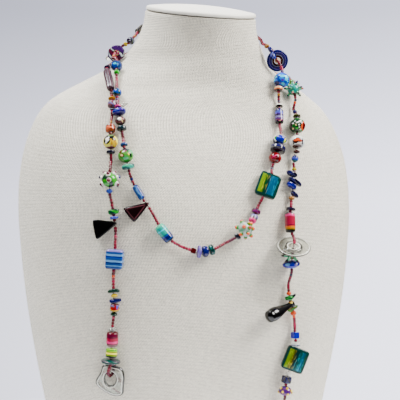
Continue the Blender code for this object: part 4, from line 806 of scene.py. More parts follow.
def pillow_mesh(bead, power, dome):
    """A rounded block of glass, its front and back domed a little."""
    work = bmesh.new()
    bmesh.ops.create_cube(work, size=2.0)
    bmesh.ops.subdivide_edges(work, edges=work.edges, cuts=13, use_grid_fill=True)
    half = (bead.wide / 2, bead.deep / 2, bead.long / 2)
    for vertex in work.verts:
        length = sum(abs(share) ** power for share in vertex.co) ** (1 / power)
        x, y, z = (share / length for share in vertex.co)
        y *= 1 - dome * max(abs(x), abs(z)) ** 2
        vertex.co = (x * half[0], y * half[1], z * half[2])
    return finish_mesh(work, "block", (bead.wide, bead.deep, bead.long))


def clipped(corners, share):
    """An outline with each corner cut off at a share of its two sides."""
    cut = []
    for before, here, there in zip(corners[-1:] + corners, corners, corners[1:] + corners[:1]):
        for other in (before, there):
            cut.append(tuple(share * a + (1 - share) * b for a, b in zip(other, here)))
    return cut


def rounded(corners, times=3):
    for _ in range(times):
        corners = clipped(corners, 0.24)
    return corners


def outline_mesh(splines, thickness, edge):
    """A flat piece with rounded edges from its outline and any hole, standing in the XZ plane."""
    curve = bpy.data.curves.new("outline", "CURVE")
    curve.dimensions = "2D"
    curve.fill_mode = "BOTH"
    curve.extrude = thickness / 2 - edge
    curve.bevel_depth = edge
    curve.bevel_resolution = 5
    curve.offset = -edge
    for points in splines:
        spline = curve.splines.new("POLY")
        spline.points.add(len(points) - 1)
        for corner, (x, y) in zip(spline.points, points):
            corner.co = (x, y, 0.0, 1.0)
        spline.use_cyclic_u = True
    made = bpy.data.objects.new("outline", curve)
    bpy.context.scene.collection.objects.link(made)
    bpy.context.view_layer.update()
    mesh = bpy.data.meshes.new_from_object(made.evaluated_get(bpy.context.evaluated_depsgraph_get()))
    bpy.data.objects.remove(made)
    mesh.transform(Matrix.Rotation(radians(90), 4, "X"))
    work = bmesh.new()
    work.from_mesh(mesh)
    bmesh.ops.remove_doubles(work, verts=work.verts, dist=1e-6)
    return finish_mesh(work, "outline", (2 * BEAD, thickness, 2 * BEAD))


def face_ring_mesh(bead):
    """A flat glass ring, round or with blunt corners."""
    hole = FACE_RING_HOLE * BEAD
    radius = bead.wide / 2
    half = bead.long / 2
    side = [(radius - half + half * sin(pi * k / 10), half * cos(pi * k / 10)) for k in range(11)]
    face = [(hole + (radius - half - hole) * k / 12, -half) for k in range(12, 0, -1)]
    lip = [(hole - 0.3 * half * sin(pi * k / 4), -half * cos(pi * k / 4)) for k in range(5)]
    back = [(high, half) for high, _ in reversed(face)]
    corners = 8

    def polygon(angle, reach, height):
        turn = (angle + pi / corners) % (2 * pi / corners) - pi / corners
        return 1.0 if bead.name == "indigo_disc" else (cos(pi / corners) / cos(turn)) ** 0.8

    size = (bead.wide, bead.wide, bead.long)
    return turned_mesh(side + face[1:] + lip + back[:-1], 72, size, bend=polygon)


def ringed_disc_mesh(bead):
    """A wide thin disc of clear glass with a raised ring round its middle."""
    half = bead.long / 2
    radius = bead.wide / 2
    ring = 0.44 * radius
    top = [(0.0010, 0.6 * half), (ring * 0.74, 0.6 * half), (ring * 0.86, 0.9 * half), (ring * 0.98, half),
           (ring * 1.10, 0.86 * half), (ring * 1.2, 0.5 * half), (radius * 0.80, 0.36 * half),
           (radius * 0.90, 0.62 * half), (radius * 0.955, 0.7 * half), (radius * 0.99, 0.45 * half),
           (radius, 0.0)]
    profile = top + [(reach, -height) for reach, height in reversed(top[:-1])]
    return turned_mesh(profile, 96, (bead.wide, bead.wide, bead.long))


def drop_mesh():
    down = [row[0] for row in DROP_PROFILE]
    reach = [row[1] for row in DROP_PROFILE]
    steps = np.linspace(down[0], down[-1], 48)
    profile = [(max(float(smooth(step, down, reach)), 0.0) * BEAD, -step * BEAD) for step in steps]
    profile[0] = (0.0, profile[0][1])
    profile[-1] = (0.0, profile[-1][1])
    return turned_mesh(profile, 48, (0.9 * BEAD, 0.9 * BEAD, 4.0 * BEAD), closed=False)


def bead_mesh(bead):
    """The bead's own shape, and the turn that it takes in the bead's frame."""
    size = (bead.wide, bead.deep, bead.long)
    if bead.form == "cube":
        return pillow_mesh(bead, 8, 0.0), bead.turned()
    if bead.form == "square":
        return pillow_mesh(bead, 9, 0.22), bead.turned()
    if bead.form == "triangle":
        corners = [(x * BEAD, y * BEAD) for x, y in TRIANGLES[bead.name]]
        outline = rounded(clipped(corners, TRIANGLE_CORNER), 2)
        edge = TRIANGLE_BEVEL[bead.name] * BEAD
        return outline_mesh([outline], TRIANGLE_THICKNESS * BEAD, edge), bead.upright()
    if bead.form == "drop":
        slope = Matrix.Rotation(radians(90 - DROP_SLOPE), 3, "Y")
        return drop_mesh(), bead.upright() @ slope @ Matrix.Rotation(radians(-DROP_RISE), 3, "X")
    if bead.form == "face_ring":
        return face_ring_mesh(bead), bead.frame
    if bead.form == "ringed_disc":
        return ringed_disc_mesh(bead), bead.turned()
    if bead.form == "faceted":
        cut = [(0.34, 0.5), (0.78, 0.30), (1.0, 0.08), (1.0, -0.08), (0.78, -0.30), (0.34, -0.5)]
        profile = [(share * bead.wide / 2, high * bead.long) for share, high in cut]
        hole = [(0.001, -0.5 * bead.long), (0.001, 0.5 * bead.long)]
        return turned_mesh(profile + hole, 9, size), bead.turned()

    phase = sum(map(ord, bead.name))

    def bend(angle, reach, height):
        if bead.form == "fluted":
            return 0.92 + 0.08 * abs(cos(6 * angle))
        if bead.form == "chip":
            return 0.78 + 0.14 * cos(2 * angle) + 0.08 * cos(3 * angle + phase)
        return 1.0

    mesh = turned_mesh(bead_profile(bead), 72 if bead.form == "fluted" else BEAD_SIDES, size, bend=bend)
    squash = bead.deep / bead.wide
    spread = SPREAD.get(bead.name, 1.0)
    thicker = THICKER.get(bead.name, 1.0)
    shift = bead.aside * BEAD
    for vertex in mesh.vertices:
        x, y, z = vertex.co
        reach = min(1.0, (x * x + y * y) ** 0.5 / (bead.wide / 2))
        if bead.form == "chip":
            z += bead.long * 0.16 * sin(5.0 * x / bead.wide + phase) * reach
        vertex.co = (x * spread + shift * reach, y * squash, z * thicker)
    return mesh, bead.turned()


# ---- Node trees
def add(tree, kind, values=None, **settings):
    """A node with its settings, and each input given a value or linked to a socket."""
    made = tree.nodes.new(kind)
    for setting, value in settings.items():
        setattr(made, setting, value)
    for socket, value in (values or {}).items():
        if isinstance(value, bpy.types.NodeSocket):
            tree.links.new(value, made.inputs[socket])
        else:
            made.inputs[socket].default_value = value
    return made


def paint(name):
    """A named paint as linear colour, deepened for the strong light."""
    def linear(level):
        share = level / 255
        return (share / 12.92 if share <= 0.04045 else ((share + 0.055) / 1.055) ** 2.4) ** PAINT_DEPTH
    return (*(linear(level) for level in PAINTS[name]), 1.0)


def even_stops(names):
    return [(k / len(names), paint(name)) for k, name in enumerate(names)]


def calc(tree, operation, first, second=0.0):
    return add(tree, "ShaderNodeMath", {0: first, 1: second}, operation=operation).outputs[0]


def vector(tree, operation, first, second=(0.0, 0.0, 0.0)):
    made = add(tree, "ShaderNodeVectorMath", {0: first, 1: second}, operation=operation)
    return made.outputs["Value" if operation in ("DOT_PRODUCT", "LENGTH") else "Vector"]


def blend(tree, share, first, second):
    return add(tree, "ShaderNodeMix", {0: share, 6: first, 7: second}, data_type="RGBA").outputs[2]


def ramp(tree, value, stops, hard=False):
    made = add(tree, "ShaderNodeValToRGB", {0: value})
    made.color_ramp.interpolation = "CONSTANT" if hard else "LINEAR"
    elements = made.color_ramp.elements
    while len(elements) < len(stops):
        elements.new(1.0)
    for element, (at, colour) in zip(elements, stops):
        element.position = at
        element.color = colour
    return made.outputs[0]


def new_material(name, roughness, **sockets):
    made = bpy.data.materials.new(name)
    made.use_nodes = True
    shader = made.node_tree.nodes["Principled BSDF"]
    shader.inputs["Roughness"].default_value = roughness
    for socket, value in sockets.items():
        shader.inputs[socket.replace("_", " ")].default_value = value
    return made, made.node_tree, shader


def banded(tree, share, paints, blur, wander):
    """Bands of paint with their widths, along a 0 to 1 share that wanders a little."""
    total = sum(width for _, width in paints)
    stops = []
    below = 0.0
    for paint_name, width in paints:
        stops.append((below / total, paint(paint_name)))
        below += width
    noisy = calc(tree, "ADD", share, calc(tree, "MULTIPLY", calc(tree, "SUBTRACT", wander, 0.5), blur))
    return ramp(tree, noisy, stops, hard=True)


def stroke_group():
    """A node group: 1 inside an ellipse on the bead's near side, 0 outside it."""
    group = bpy.data.node_groups.new("stroke", "ShaderNodeTree")
    for name in ("Local", "Centre", "Right", "Up", "Away"):
        group.interface.new_socket(name, in_out="INPUT", socket_type="NodeSocketVector")
    for name in ("Wide", "High", "Open"):
        group.interface.new_socket(name, in_out="INPUT", socket_type="NodeSocketFloat")
    group.interface.new_socket("Inside", in_out="OUTPUT", socket_type="NodeSocketFloat")
    given = add(group, "NodeGroupInput").outputs
    from_centre = vector(group, "SUBTRACT", given["Local"], given["Centre"])
    across = calc(group, "DIVIDE", vector(group, "DOT_PRODUCT", from_centre, given["Right"]), given["Wide"])
    up = calc(group, "DIVIDE", vector(group, "DOT_PRODUCT", from_centre, given["Up"]), given["High"])
    squares = calc(group, "ADD", calc(group, "MULTIPLY", across, across), calc(group, "MULTIPLY", up, up))
    far = calc(group, "SQRT", squares)
    inside = calc(group, "MULTIPLY", calc(group, "LESS_THAN", far, 1.0),
                  calc(group, "GREATER_THAN", far, given["Open"]))
    near = calc(group, "LESS_THAN", vector(group, "DOT_PRODUCT", given["Local"], given["Away"]), 0.1)
    result = add(group, "NodeGroupOutput")
    group.links.new(calc(group, "MULTIPLY", inside, near), result.inputs[0])
    return group


def paint_strokes(tree, bead, turn, local, colour, group):
    """Lay a bead's strokes over its ground colour, each as wide as the photograph shows it."""
    back = turn.transposed()
    right, away, up = (back @ axis for axis in (VIEW_RIGHT, VIEW_AWAY, VIEW_UP))
    for stroke in rows(STROKES[bead.name], STROKE_COLUMNS):
        depth = max(0.0, 1 - stroke["right"] ** 2 - stroke["up"] ** 2) ** 0.5
        centre = right * stroke["right"] + up * stroke["up"] - away * depth
        angle = radians(stroke["turn"])
        along = right * cos(angle) + up * sin(angle)
        across = up * cos(angle) - right * sin(angle)
        inside = add(tree, "ShaderNodeGroup", node_tree=group)
        tree.links.new(local, inside.inputs["Local"])
        for socket, value in (("Centre", centre), ("Right", along), ("Up", across), ("Away", away)):
            inside.inputs[socket].default_value = value
        inside.inputs["Wide"].default_value = stroke["wide"]
        inside.inputs["High"].default_value = stroke["high"]
        inside.inputs["Open"].default_value = stroke["open"]
        colour = blend(tree, inside.outputs[0], colour, paint(stroke["paint"]))
    return colour


def glass_material(bead, turn, look, group):
    """The glass of one bead from its row of the looks and its strokes."""
    clear = look["clear"]
    made, tree, shader = new_material("glass_" + look["name"], 0.10 if clear < 0.5 else 0.02, IOR=1.5,
                                      Coat_Weight=0.15, Coat_Roughness=0.03, Transmission_Weight=clear)
    shader.inputs["Specular IOR Level"].default_value = 0.15 if look["name"] in CALM_FACES else 0.35
    local = add(tree, "ShaderNodeAttribute", attribute_name="local").outputs["Vector"]
    place = add(tree, "ShaderNodeSeparateXYZ", {0: local}).outputs
    seed = sum(map(ord, look["name"])) % 17
    shifted = vector(tree, "ADD", local, (seed, seed * 0.7, seed * 0.3))
    noise = add(tree, "ShaderNodeTexNoise", {"Vector": shifted, "Scale": 1.6, "Detail": 3.0})
    wander = noise.outputs[0]
    height = calc(tree, "ADD", calc(tree, "MULTIPLY", place[2], 0.5), 0.5)
    pattern = look["pattern"]
    paints = look["paints"]
    if pattern == "plain":
        deep = "white" if clear > 0.8 else paints[0]
        darker = tuple(share * (1.0 if clear > 0.8 else 0.5) for share in paint(deep)[:3]) + (1.0,)
        colour = blend(tree, wander, paint(paints[0]), darker)
    elif pattern == "bands":
        colour = banded(tree, height, paints, look["scale"], wander)
    elif pattern == "rings":
        flat = add(tree, "ShaderNodeCombineXYZ", {0: place[0], 1: place[1]}).outputs[0]
        out = calc(tree, "MULTIPLY", calc(tree, "SUBTRACT", vector(tree, "LENGTH", flat), 0.3), 1.43)
        colour = banded(tree, out, paints, look["scale"], wander)
    elif pattern == "swirl":
        wave = add(tree, "ShaderNodeTexWave", {"Vector": shifted, "Scale": look["scale"] * 0.4,
                                               "Distortion": 8.0, "Detail": 1.5, "Detail Scale": 0.8},
                   bands_direction="DIAGONAL").outputs[1]
        colour = ramp(tree, wave, even_stops(paints), hard=False)
    elif pattern in ("flutes", "streaks"):
        angle = calc(tree, "ARCTAN2", place[1], place[0])
        wave = calc(tree, "SINE", calc(tree, "MULTIPLY", angle, float(look["scale"])))
        wave = calc(tree, "ADD", calc(tree, "MULTIPLY", wave, 0.4), wander)
        colour = ramp(tree, wave, even_stops(paints))
    elif pattern == "cells":
        cells = add(tree, "ShaderNodeTexVoronoi", {"Vector": shifted, "Scale": look["scale"]})
        pick = add(tree, "ShaderNodeSeparateColor", {0: cells.outputs["Color"]}).outputs[0]
        edge = calc(tree, "GREATER_THAN", cells.outputs["Distance"], 0.56)
        colour = blend(tree, edge, ramp(tree, pick, even_stops(paints), hard=True), paint("blue"))
    else:
        colour = foil(tree, place, paints, shifted, shader)
    if look["name"] in STROKES:
        wobble = vector(tree, "SUBTRACT", noise.outputs[1], (0.5, 0.5, 0.5))
        wobble = vector(tree, "MULTIPLY", wobble, (0.35, 0.35, 0.35))
        colour = paint_strokes(tree, bead, turn, vector(tree, "ADD", local, wobble), colour, group)
    if look["name"] in PAINTED_EDGE_LIGHT:
        colour = painted_edge_shade_and_highlight(tree, look["name"], colour, shader)
    tree.links.new(colour, shader.inputs["Base Color"])
    bump = add(tree, "ShaderNodeBump", {"Height": wander, "Strength": 0.12, "Distance": 0.0006})
    tree.links.new(bump.outputs[0], shader.inputs["Normal"])
    return made


# Pieces whose broad flat faces mirror only a little of the light
CALM_FACES = ("black_triangle", "maroon_triangle", "foil_square_mid", "foil_square_low")
# Pieces whose edges get painted shade lines and painted highlight lines (the maroon triangle gets only the
# highlight): how strongly
PAINTED_EDGE_LIGHT = {"end_ring": 0.95, "clear_disc_big": 0.9, "maroon_triangle": 0.6}


def painted_edge_shade_and_highlight(tree, name, colour, shader):
    """Painted shade and painted highlight lines along a piece's edges, where one looks through the most
    glass: dark lines painted black, bright lines painted white with less transmission.
    """
    # smoke masks the painted shade lines and shine the painted highlight lines
    black, white = (0, 0, 0, 1), (1, 1, 1, 1)
    if name == "clear_disc_big":
        local = add(tree, "ShaderNodeAttribute", attribute_name="local").outputs["Vector"]
        place = add(tree, "ShaderNodeSeparateXYZ", {0: local}).outputs
        flat = add(tree, "ShaderNodeCombineXYZ", {0: place[0], 1: place[1]}).outputs[0]
        edge = vector(tree, "LENGTH", flat)
        smoke = ramp(tree, edge, [(0.0, black), (0.40, black), (0.42, white), (0.49, white), (0.52, black),
                                  (0.95, black), (0.965, white), (1.0, white)])
        shine = ramp(tree, edge, [(0.0, black), (0.32, black), (0.34, white), (0.385, white), (0.40, black),
                                  (0.91, black), (0.925, white), (0.945, white), (0.955, black)])
    else:
        edge = add(tree, "ShaderNodeAttribute", attribute_name="edge").outputs["Fac"]
        smoke = ramp(tree, edge, [(0.0, black), (0.05, black), (0.08, white), (1.0, white)])
        shine = ramp(tree, edge, [(0.001, black), (0.004, white), (0.03, white), (0.05, black)])
    # The maroon triangle gets a mauve stripe on its bevel: a painted highlight
    if name == "maroon_triangle":
        painted_bevel_highlight = ramp(tree, edge, [(0.001, black), (0.004, white), (0.02, white), (0.04, black)])
        return blend(tree, calc(tree, "MULTIPLY", painted_bevel_highlight, PAINTED_EDGE_LIGHT[name]), colour, paint("mauve"))
    tree.links.new(calc(tree, "SUBTRACT", 1.0, calc(tree, "MULTIPLY", shine, 0.85)),
                   shader.inputs["Transmission Weight"])
    colour = blend(tree, shine, colour, paint("white"))
    return blend(tree, calc(tree, "MULTIPLY", smoke, PAINTED_EDGE_LIGHT[name]), colour, paint("black"))


def mark_edges(mesh):
    """How far each point of a flat piece lies round its rounded edge, from 0 on its faces to 1."""
    facing = np.zeros(len(mesh.vertices))
    for face in mesh.polygons:
        for corner in face.vertices:
            facing[corner] = max(facing[corner], abs(face.normal.y))
    mark(mesh, "edge", 1 - facing)


def foil(tree, place, paints, shifted, shader):
    """Crumpled foil under glass: paints from left to right, a dark border, and painted highlights: streaky
    glints of pale yellow and cyan.
    """
    crumple = add(tree, "ShaderNodeTexNoise", {"Vector": shifted, "Scale": 3.0, "Detail": 4.0}).outputs[0]
    across = calc(tree, "ADD", calc(tree, "MULTIPLY", place[0], 0.5), 0.5)
    across = calc(tree, "ADD", across, calc(tree, "MULTIPLY", calc(tree, "SUBTRACT", crumple, 0.5), 0.16))
    colour = ramp(tree, across, even_stops(paints))
    # Painted highlights: streaky glints lightening the foil, pale yellow on the lime side and cyan on the
    # teal side
    streaks = vector(tree, "MULTIPLY", shifted, (9.0, 1.0, 1.6))
    glint = add(tree, "ShaderNodeTexNoise", {"Vector": streaks, "Scale": 1.0, "Detail": 3.0}).outputs[0]
    glint = ramp(tree, glint, [(0.54, (0, 0, 0, 1)), (0.70, (0.45, 0.45, 0.45, 1))])
    painted_glint_colour = ramp(tree, across, [(0.48, paint("pale_yellow")), (0.54, paint("cyan"))])
    colour = blend(tree, glint, colour, painted_glint_colour)
    dark = calc(tree, "LESS_THAN", calc(tree, "ABSOLUTE", calc(tree, "ADD", place[0], 0.06)), 0.05)
    colour = blend(tree, calc(tree, "MULTIPLY", dark, 0.8), colour, paint("deep_teal"))
    sides = [calc(tree, "ABSOLUTE", place[k]) for k in (0, 2)]
    border = calc(tree, "GREATER_THAN", calc(tree, "MAXIMUM", *sides), 0.80)
    shine = calc(tree, "MULTIPLY", calc(tree, "SUBTRACT", 1.0, border), 0.35)
    tree.links.new(shine, shader.inputs["Metallic"])
    return blend(tree, border, colour, paint("foil_teal"))


def seed_material():
    """Dark red seed beads, with an odd one of another colour here and there."""
    made, tree, shader = new_material("seed_glass", 0.26, IOR=1.45, Coat_Weight=0.1, Coat_Roughness=0.08)
    tint = add(tree, "ShaderNodeAttribute", attribute_name="tint").outputs["Fac"]
    stops = [(0.0, "wine"), (0.30, "crimson"), (0.76, "rose"), (0.86, "plum"), (0.95, "dark_purple"),
             (0.965, "navy"), (0.98, "orange"), (0.99, "gold")]
    colour = ramp(tree, tint, [(at, paint(name)) for at, name in stops], hard=True)
    tree.links.new(colour, shader.inputs["Base Color"])
    return made


def thread_material():
    """Beading thread: dark red fibres laid round one another."""
    made, tree, shader = new_material("beading_thread", 0.7)
    noise = add(tree, "ShaderNodeTexNoise", {"Scale": 900.0, "Detail": 2.0})
    tree.links.new(add(tree, "ShaderNodeTexCoord").outputs["Object"], noise.inputs["Vector"])
    tree.links.new(blend(tree, noise.outputs[0], paint("wine"), paint("dark_red")),
                   shader.inputs["Base Color"])
    return made


def dot_material(name, foot, tips):
    """A raised dot: its foot of one glass and its tip of another."""
    made, tree, shader = new_material("dots_" + name, 0.10, IOR=1.5, Coat_Weight=0.3)
    rise = add(tree, "ShaderNodeAttribute", attribute_name="rise").outputs["Fac"]
    tint = add(tree, "ShaderNodeAttribute", attribute_name="tint").outputs["Fac"]
    tip = ramp(tree, tint, even_stops(tips), hard=True)
    colour = blend(tree, calc(tree, "GREATER_THAN", rise, 0.45), paint(foot), tip)
    tree.links.new(colour, shader.inputs["Base Color"])
    return made


def linen_material():
    """Plain-weave linen: threads over and under one another, thicker in places; the colour darkens between
    the threads as painted shade.
    """
    made, tree, shader = new_material("linen", 0.9, Sheen_Weight=0.2, Sheen_Roughness=0.6)
    cloth = add(tree, "ShaderNodeAttribute", attribute_name="cloth").outputs["Vector"]
    place = add(tree, "ShaderNodeSeparateXYZ", {0: cloth}).outputs
    threads = []
    for axis in (0, 1):
        wave = calc(tree, "SINE", calc(tree, "MULTIPLY", place[axis], pi / WEAVE_PITCH))
        threads.append(calc(tree, "ABSOLUTE", wave))
    over = add(tree, "ShaderNodeTexChecker", {"Vector": cloth, "Scale": 1 / WEAVE_PITCH}).outputs[1]
    weave = add(tree, "ShaderNodeMix", {0: over, 2: threads[0], 3: threads[1]}).outputs[0]
    slubs = []
    for stretch in ((160.0, 1100.0, 1.0), (1100.0, 160.0, 1.0)):
        long = vector(tree, "MULTIPLY", cloth, stretch)
        noise = add(tree, "ShaderNodeTexNoise", {"Vector": long, "Scale": 1.0, "Detail": 2.0})
        slubs.append(noise.outputs[0])
    slub = calc(tree, "MULTIPLY", calc(tree, "ADD", *slubs), 0.5)
    broad = add(tree, "ShaderNodeTexNoise", {"Vector": cloth, "Scale": 22.0, "Detail": 2.0}).outputs[0]
    # The weave's thread profile darkens the colour between the threads: painted shade. The slubs and the
    # broad noise are the cloth's own uneven tone; shade mixes all three.
    shade = calc(tree, "ADD", calc(tree, "MULTIPLY", weave, 0.66), calc(tree, "MULTIPLY", slub, 0.92))
    shade = calc(tree, "ADD", shade, calc(tree, "MULTIPLY", broad, 0.14))
    colour = ramp(tree, shade, [(0.66, paint("linen_shade")), (1.16, paint("linen"))])
    tree.links.new(colour, shader.inputs["Base Color"])
    height = calc(tree, "ADD", weave, calc(tree, "MULTIPLY", slub, 2.0))
    bump = add(tree, "ShaderNodeBump", {"Height": height, "Strength": 0.6, "Distance": WEAVE_RELIEF})
    tree.links.new(bump.outputs[0], shader.inputs["Normal"])
    return made


def board_material():
    """The cap: painted board, smooth with a faint mottle."""
    made, tree, shader = new_material("cap_board", 0.42)
    mottle = add(tree, "ShaderNodeTexNoise", {"Scale": 60.0, "Detail": 3.0})
    tree.links.new(add(tree, "ShaderNodeTexCoord").outputs["Object"], mottle.inputs["Vector"])
    pale = paint("board")
    deep = tuple(share * 0.9 for share in pale[:3]) + (1.0,)
    tree.links.new(blend(tree, mottle.outputs[0], pale, deep), shader.inputs["Base Color"])
    bump = add(tree, "ShaderNodeBump", {"Height": mottle.outputs[0], "Strength": 0.1, "Distance": 0.0004})
    tree.links.new(bump.outputs[0], shader.inputs["Normal"])
    return made


# ---- Geometry Nodes: many small pieces on points
def points_mesh(name, places, directions, tints):
    mesh = bpy.data.meshes.new(name)
    mesh.from_pydata([tuple(place) for place in places], [], [])
    mark(mesh, "facing", np.array([tuple(direction) for direction in directions]))
    mark(mesh, "tint", np.array(tints))
    return mesh


def new_tree(name, sizes):
    tree = bpy.data.node_groups.new(name, "GeometryNodeTree")
    tree.interface.new_socket("Geometry", in_out="INPUT", socket_type="NodeSocketGeometry")
    for size in sizes:
        tree.interface.new_socket(size, in_out="INPUT", socket_type="NodeSocketFloat")
    tree.interface.new_socket("Finish", in_out="INPUT", socket_type="NodeSocketMaterial")
    tree.interface.new_socket("Geometry", in_out="OUTPUT", socket_type="NodeSocketGeometry")
    return tree, add(tree, "NodeGroupInput"), add(tree, "NodeGroupOutput")


def on_points(tree, given, result, piece, vary):
    """Put a piece on every point, facing as the point says, a little varied in size."""
    facing = add(tree, "GeometryNodeInputNamedAttribute", {0: "facing"}, data_type="FLOAT_VECTOR")
    turn = add(tree, "FunctionNodeAlignRotationToVector", {"Vector": facing.outputs[0]}, axis="Z")
    size = add(tree, "FunctionNodeRandomValue", {2: 1 - vary, 3: 1.0, "Seed": 4})
    placed = add(tree, "GeometryNodeInstanceOnPoints",
                 {"Points": given.outputs["Geometry"], "Instance": piece, "Rotation": turn.outputs[0],
                  "Scale": size.outputs[1]})
    real = add(tree, "GeometryNodeRealizeInstances", {0: placed.outputs[0]})
    dressed = add(tree, "GeometryNodeSetMaterial",
                  {"Geometry": real.outputs[0], "Material": given.outputs["Finish"]})
    tree.links.new(dressed.outputs[0], result.inputs[0])


def seed_tree():
    """A seed bead, a small glass ring, on every point of the string."""
    tree, given, result = new_tree("seed_beads", ("Width", "Length"))
    width = given.outputs["Width"]
    wall = calc(tree, "MULTIPLY", width, SEED_WALL)
    middle = calc(tree, "SUBTRACT", calc(tree, "MULTIPLY", width, 0.5), wall)
    ring = add(tree, "GeometryNodeCurvePrimitiveCircle", {"Resolution": SEED_SIDES, "Radius": middle})
    side = add(tree, "GeometryNodeCurvePrimitiveCircle", {"Resolution": SEED_WALL_SIDES, "Radius": wall})
    longer = calc(tree, "DIVIDE", given.outputs["Length"], calc(tree, "MULTIPLY", wall, 2.0))
    stretch = add(tree, "ShaderNodeCombineXYZ", {0: 1.0, 1: longer, 2: 1.0})
    tall = add(tree, "GeometryNodeTransform", {"Geometry": side.outputs[0], "Scale": stretch.outputs[0]})
    seed = add(tree, "GeometryNodeCurveToMesh", {"Curve": ring.outputs[0], "Profile Curve": tall.outputs[0]})
    soft = add(tree, "GeometryNodeSetShadeSmooth", {"Geometry": seed.outputs[0]})
    on_points(tree, given, result, soft.outputs[0], 0.10)
    return tree


def dot_tree():
    """A rounded dot, its foot in the bead, on every point given."""
    tree, given, result = new_tree("raised_dots", ("Width", "Height"))
    ball = add(tree, "GeometryNodeMeshUVSphere", {"Segments": DOT_SIDES, "Rings": DOT_RINGS, "Radius": 1.0})
    level = add(tree, "ShaderNodeSeparateXYZ", {0: add(tree, "GeometryNodeInputPosition").outputs[0]})
    marked = add(tree, "GeometryNodeStoreNamedAttribute",
                 {"Geometry": ball.outputs[0], "Name": "rise", "Value": level.outputs[2]},
                 data_type="FLOAT", domain="POINT")
    half = calc(tree, "MULTIPLY", given.outputs["Width"], 0.5)
    size = add(tree, "ShaderNodeCombineXYZ", {0: half, 1: half, 2: given.outputs["Height"]})
    dot = add(tree, "GeometryNodeTransform", {"Geometry": marked.outputs[0], "Scale": size.outputs[0]})
    on_points(tree, given, result, dot.outputs[0], 0.15)
    return tree


def grow(mesh, tree, sizes, finish):
    """Run a tree on a mesh of points and take its result as a plain mesh."""
    made = bpy.data.objects.new(mesh.name, mesh)
    bpy.context.scene.collection.objects.link(made)
    nodes = made.modifiers.new("grow", "NODES")
    nodes.node_group = tree
    values = {**sizes, "Finish": finish}
    for socket in tree.interface.items_tree:
        if socket.in_out == "INPUT" and socket.name in values:
            nodes[socket.identifier] = values[socket.name]
    bpy.context.view_layer.update()
    grown = bpy.data.meshes.new_from_object(made.evaluated_get(bpy.context.evaluated_depsgraph_get()))
    made.modifiers.remove(nodes)
    bpy.data.objects.remove(made)
    return grown


# ---- The string
def row_of_seeds(path):
    """Seed beads spaced evenly along a polyline, with the direction of the thread at each."""
    lengths = [0.0]
    for here, there in zip(path, path[1:]):
        lengths.append(lengths[-1] + (there - here).length)
    count = round(lengths[-1] / SEED_PITCH)
    seeds = []
    for k in range(count):
        at = (k + 0.5) * lengths[-1] / count
        i = min(max(int(np.searchsorted(lengths, at)) - 1, 0), len(path) - 2)
        along = path[i + 1] - path[i]
        seeds.append((path[i] + along * ((at - lengths[i]) / max(along.length, 1e-9)), along.normalized()))
    return seeds


def route_path(first, last, lift_at):
    count = max(2, ceil((last - first) / 0.0015))
    runs = [first + (last - first) * k / count for k in range(count + 1)]
    return [on_route(run, lift_at(run))[0] for run in runs]


def end_ring_place(first_bead):
    """The free end's ring: the bust below the first bead, its lift and how far down it hangs."""
    lift = REST_GAP + SEED + GAP + END_RING_THICKNESS * BEAD / 2
    down = first_bead.long / 2 + GAP + END_RING_OUTLINE[1][1] * BEAD + END_RING_SLACK
    return first_bead.centre - first_bead.out * first_bead.lift, lift, down


def end_loop(first_bead):
    """The loop of seed beads through the free end's ring."""
    base, lift, down = end_ring_place(first_bead)
    sideways, upward = first_bead.frame.col[0], first_bead.frame.col[2]
    back = SEED_LIFT
    front = lift + END_RING_THICKNESS * BEAD / 2 + GAP + SEED / 2
    turn = down + GAP * 5 + SEED / 2
    start = first_bead.long / 2 + SEED * 0.4
    wander = SEED * 0.6
    path = (
        (start, back + SEED * 0.4, wander), (start + SEED, back, wander), (turn - SEED * 0.8, back, wander),
        (turn, lift - SEED * 0.9, wander / 2), (turn + SEED * 0.2, lift, 0.0),
        (turn, lift + SEED * 0.9, -wander / 2), (turn - SEED * 0.8, front, -wander),
        (start + SEED, front, -wander / 2), (start, first_bead.lift, 0.0))
    return [base + first_bead.out * out - upward * below + sideways * aside for below, out, aside in path]


def strand_paths(strand, strung, lift_at):
    """The stretches of a strand that carry seed beads."""
    start, end = strand_ends(strand)
    mine = [bead for bead in strung if start < bead.run + bead.hold and bead.run - bead.hold < end]
    stretches = []
    cursor = start
    if strand == STRANDS[0]:
        stretches.append(end_loop(mine[0]))
        cursor = mine[0].run - mine[0].hold
    for bead in mine:
        before = bead.run - bead.hold
        clear = bead.long / 2 + SEED / 2 + GAP * 2
        entry = bead.centre - bead.along * bead.hold
        if bead.kind == "ring":
            entry = bead.centre - bead.face * clear - bead.along * (bead.hold + SEED / 2)
        if before - cursor > SEED_PITCH * 0.5:
            stretches.append(route_path(cursor, before, lift_at)[:-1] + [entry])
        if bead.kind == "ring":
            middle = FACE_RING_BEAD * BEAD * 0.8
            stretches.append([entry, bead.centre - bead.face * clear, bead.centre - bead.face * middle])
            stretches.append([bead.centre + bead.face * middle, bead.centre + bead.face * clear,
                              bead.centre + bead.face * clear + bead.along * bead.hold])
        cursor = bead.run + bead.hold
    if end - cursor > SEED_PITCH * 0.5:
        stretches.append(route_path(cursor, end, lift_at))
    return stretches


